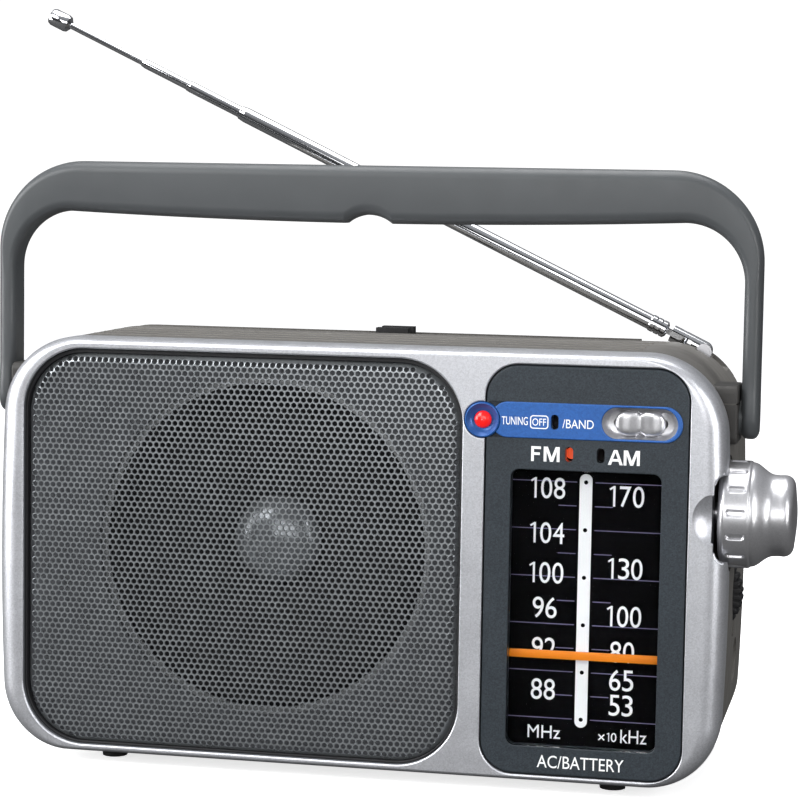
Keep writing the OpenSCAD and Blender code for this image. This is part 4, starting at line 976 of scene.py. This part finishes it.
# volume wheel
NV = 36
prof = [(0.0001, VY - 3), (11.8, VY - 3), (12.4, VY - 2.75), (12.85, VY - 2.3)] + [(13.0, VY + y) for y in np.linspace(-1.8, 1.8, 7)] + [(12.85, VY + 2.3), (12.4, VY + 2.75), (11.8, VY + 3), (3, VY + 3), (3, VY + 9), (0.0001, VY + 9)]


def teeth(r, y, a):
    if r < 12:
        return r
    q = abs(((a / (2 * math.pi) * NV + 0.5) % 1) - 0.5) * 2
    return r - 0.75 * max(0.0, 1 - q / 0.55) ** 0.7


vw = revolve("wheel_volume", prof, "y", (VX, VZ), NV * 10, teeth)
done(vw, "volume", M["black_plastic"], ["volume_wheel"], angle=40, weighted=False)

# ---------------------------------------------------------------- battery door
DX0, DX1, DZ0, DZ1 = B0[0], B1[0], B0[2], B1[2]
door = plate("door", rr(DX0 if DX0 > -62 else -61.7, 55.7, 10.3, 49.8, 1.0, 6), YR - 2.6, YR - 0.15, 0, 0.4)
adds = [plate("g", rr(-14, 8, 38.6 + i * 2, 39.5 + i * 2, 0.4, 4), YR - 0.5, YR + 0.09, 0, 0.2) for i in range(4)]
door = join("door_panel", [door] + adds + [revolve("pn", [(0.0001, s * 55.5), (0.88, s * 55.5), (0.88, s * 58.3 if s > 0 else -64.3), (0.0001, s * 58.3 if s > 0 else -64.3)], "x", (YR - 1.4, 11.4), 24) for s in (1,)])
done(door, "battery_door", M["dark_shell"], ["battery_door"], angle=34)

# ---------------------------------------------------------------- stage
fz = CAD_BOX[0][2]
floor = obj_from("floor", [(-3000, -3000, fz / MM), (3000, -3000, fz / MM), (3000, 3000, fz / MM), (-3000, 3000, fz / MM)], [(0, 1, 2, 3)], recalc=False)
fm = bpy.data.materials.new("floor_white")
fm.use_nodes = True
ft = fm.node_tree
fb = ft.nodes["Principled BSDF"]
fb.inputs["Base Color"].default_value = (0.93, 0.93, 0.93, 1)
fb.inputs["Roughness"].default_value = 0.9
fb.inputs["Specular IOR Level"].default_value = 0.0
fb.inputs["Emission Color"].default_value = (1, 1, 1, 1)
fb.inputs["Emission Strength"].default_value = 0.72
fd = ft.nodes.new("ShaderNodeBsdfDiffuse")
fd.inputs["Color"].default_value = (0.07, 0.07, 0.07, 1)
fl = ft.nodes.new("ShaderNodeLightPath")
fx = ft.nodes.new("ShaderNodeMixShader")
ft.links.new(fl.outputs["Is Camera Ray"], fx.inputs["Fac"])
ft.links.new(fd.outputs["BSDF"], fx.inputs[1])
ft.links.new(fb.outputs["BSDF"], fx.inputs[2])
ft.links.new(fx.outputs["Shader"], ft.nodes["Material Output"].inputs["Surface"])
floor.data.materials.append(fm)

world = bpy.data.worlds.new("studio")
world.use_nodes = True
wn = world.node_tree
bg = wn.nodes["Background"]
tcw = wn.nodes.new("ShaderNodeTexCoord")
spw = wn.nodes.new("ShaderNodeSeparateXYZ")
rpw = wn.nodes.new("ShaderNodeValToRGB")
rpw.color_ramp.elements[0].position, rpw.color_ramp.elements[0].color = 0.44, (0.025, 0.025, 0.026, 1)
rpw.color_ramp.elements[1].position, rpw.color_ramp.elements[1].color = 1.0, (0.50, 0.51, 0.53, 1)
el = rpw.color_ramp.elements.new(0.60)
el.color = (0.13, 0.132, 0.138, 1)
mpw = wn.nodes.new("ShaderNodeMapRange")
mpw.inputs["From Min"].default_value = -1.0
wn.links.new(tcw.outputs["Generated"], spw.inputs["Vector"])
wn.links.new(spw.outputs["Z"], mpw.inputs["Value"])
wn.links.new(mpw.outputs["Result"], rpw.inputs["Fac"])
wn.links.new(rpw.outputs["Color"], bg.inputs["Color"])
bg.inputs["Strength"].default_value = 1.0
bg2 = wn.nodes.new("ShaderNodeBackground")
bg2.inputs["Color"].default_value = (1, 1, 1, 1)
bg2.inputs["Strength"].default_value = 1.1
lp = wn.nodes.new("ShaderNodeLightPath")
mix = wn.nodes.new("ShaderNodeMixShader")
wn.links.new(lp.outputs["Is Camera Ray"], mix.inputs["Fac"])
wn.links.new(bg.outputs["Background"], mix.inputs[1])
wn.links.new(bg2.outputs["Background"], mix.inputs[2])
wn.links.new(mix.outputs["Shader"], wn.nodes["World Output"].inputs["Surface"])
scene.world = world


def area(name, at, to, sx, sy, power, color=(1, 1, 1)):
    ld = bpy.data.lights.new(name, "AREA")
    ld.shape, ld.size, ld.size_y, ld.energy, ld.color = "RECTANGLE", sx, sy, power, color
    lo = bpy.data.objects.new(name, ld)
    scene.collection.objects.link(lo)
    lo.location = at
    lo.rotation_mode = "QUATERNION"
    lo.rotation_quaternion = (Vector(to) - Vector(at)).to_track_quat("-Z", "Y")
    return lo


area("key", (-0.60, -0.85, 0.75), (0, 0, 0.06), 0.5, 0.5, 6.5)
area("top", (-0.05, 0.05, 0.95), (0, 0, 0.06), 0.9, 0.6, 8.5)
area("front", (0.15, -1.75, 0.42), (0, 0, 0.06), 1.2, 0.7, 9.5)
area("left", (-0.85, -0.34, 0.25), (-0.05, 0, 0.06), 0.45, 0.8, 10.5)
area("right", (0.80, -0.55, 0.30), (0.05, 0, 0.06), 0.20, 0.6, 4.2)
scene.view_settings.view_transform = "Standard"
scene.view_settings.look = "None"
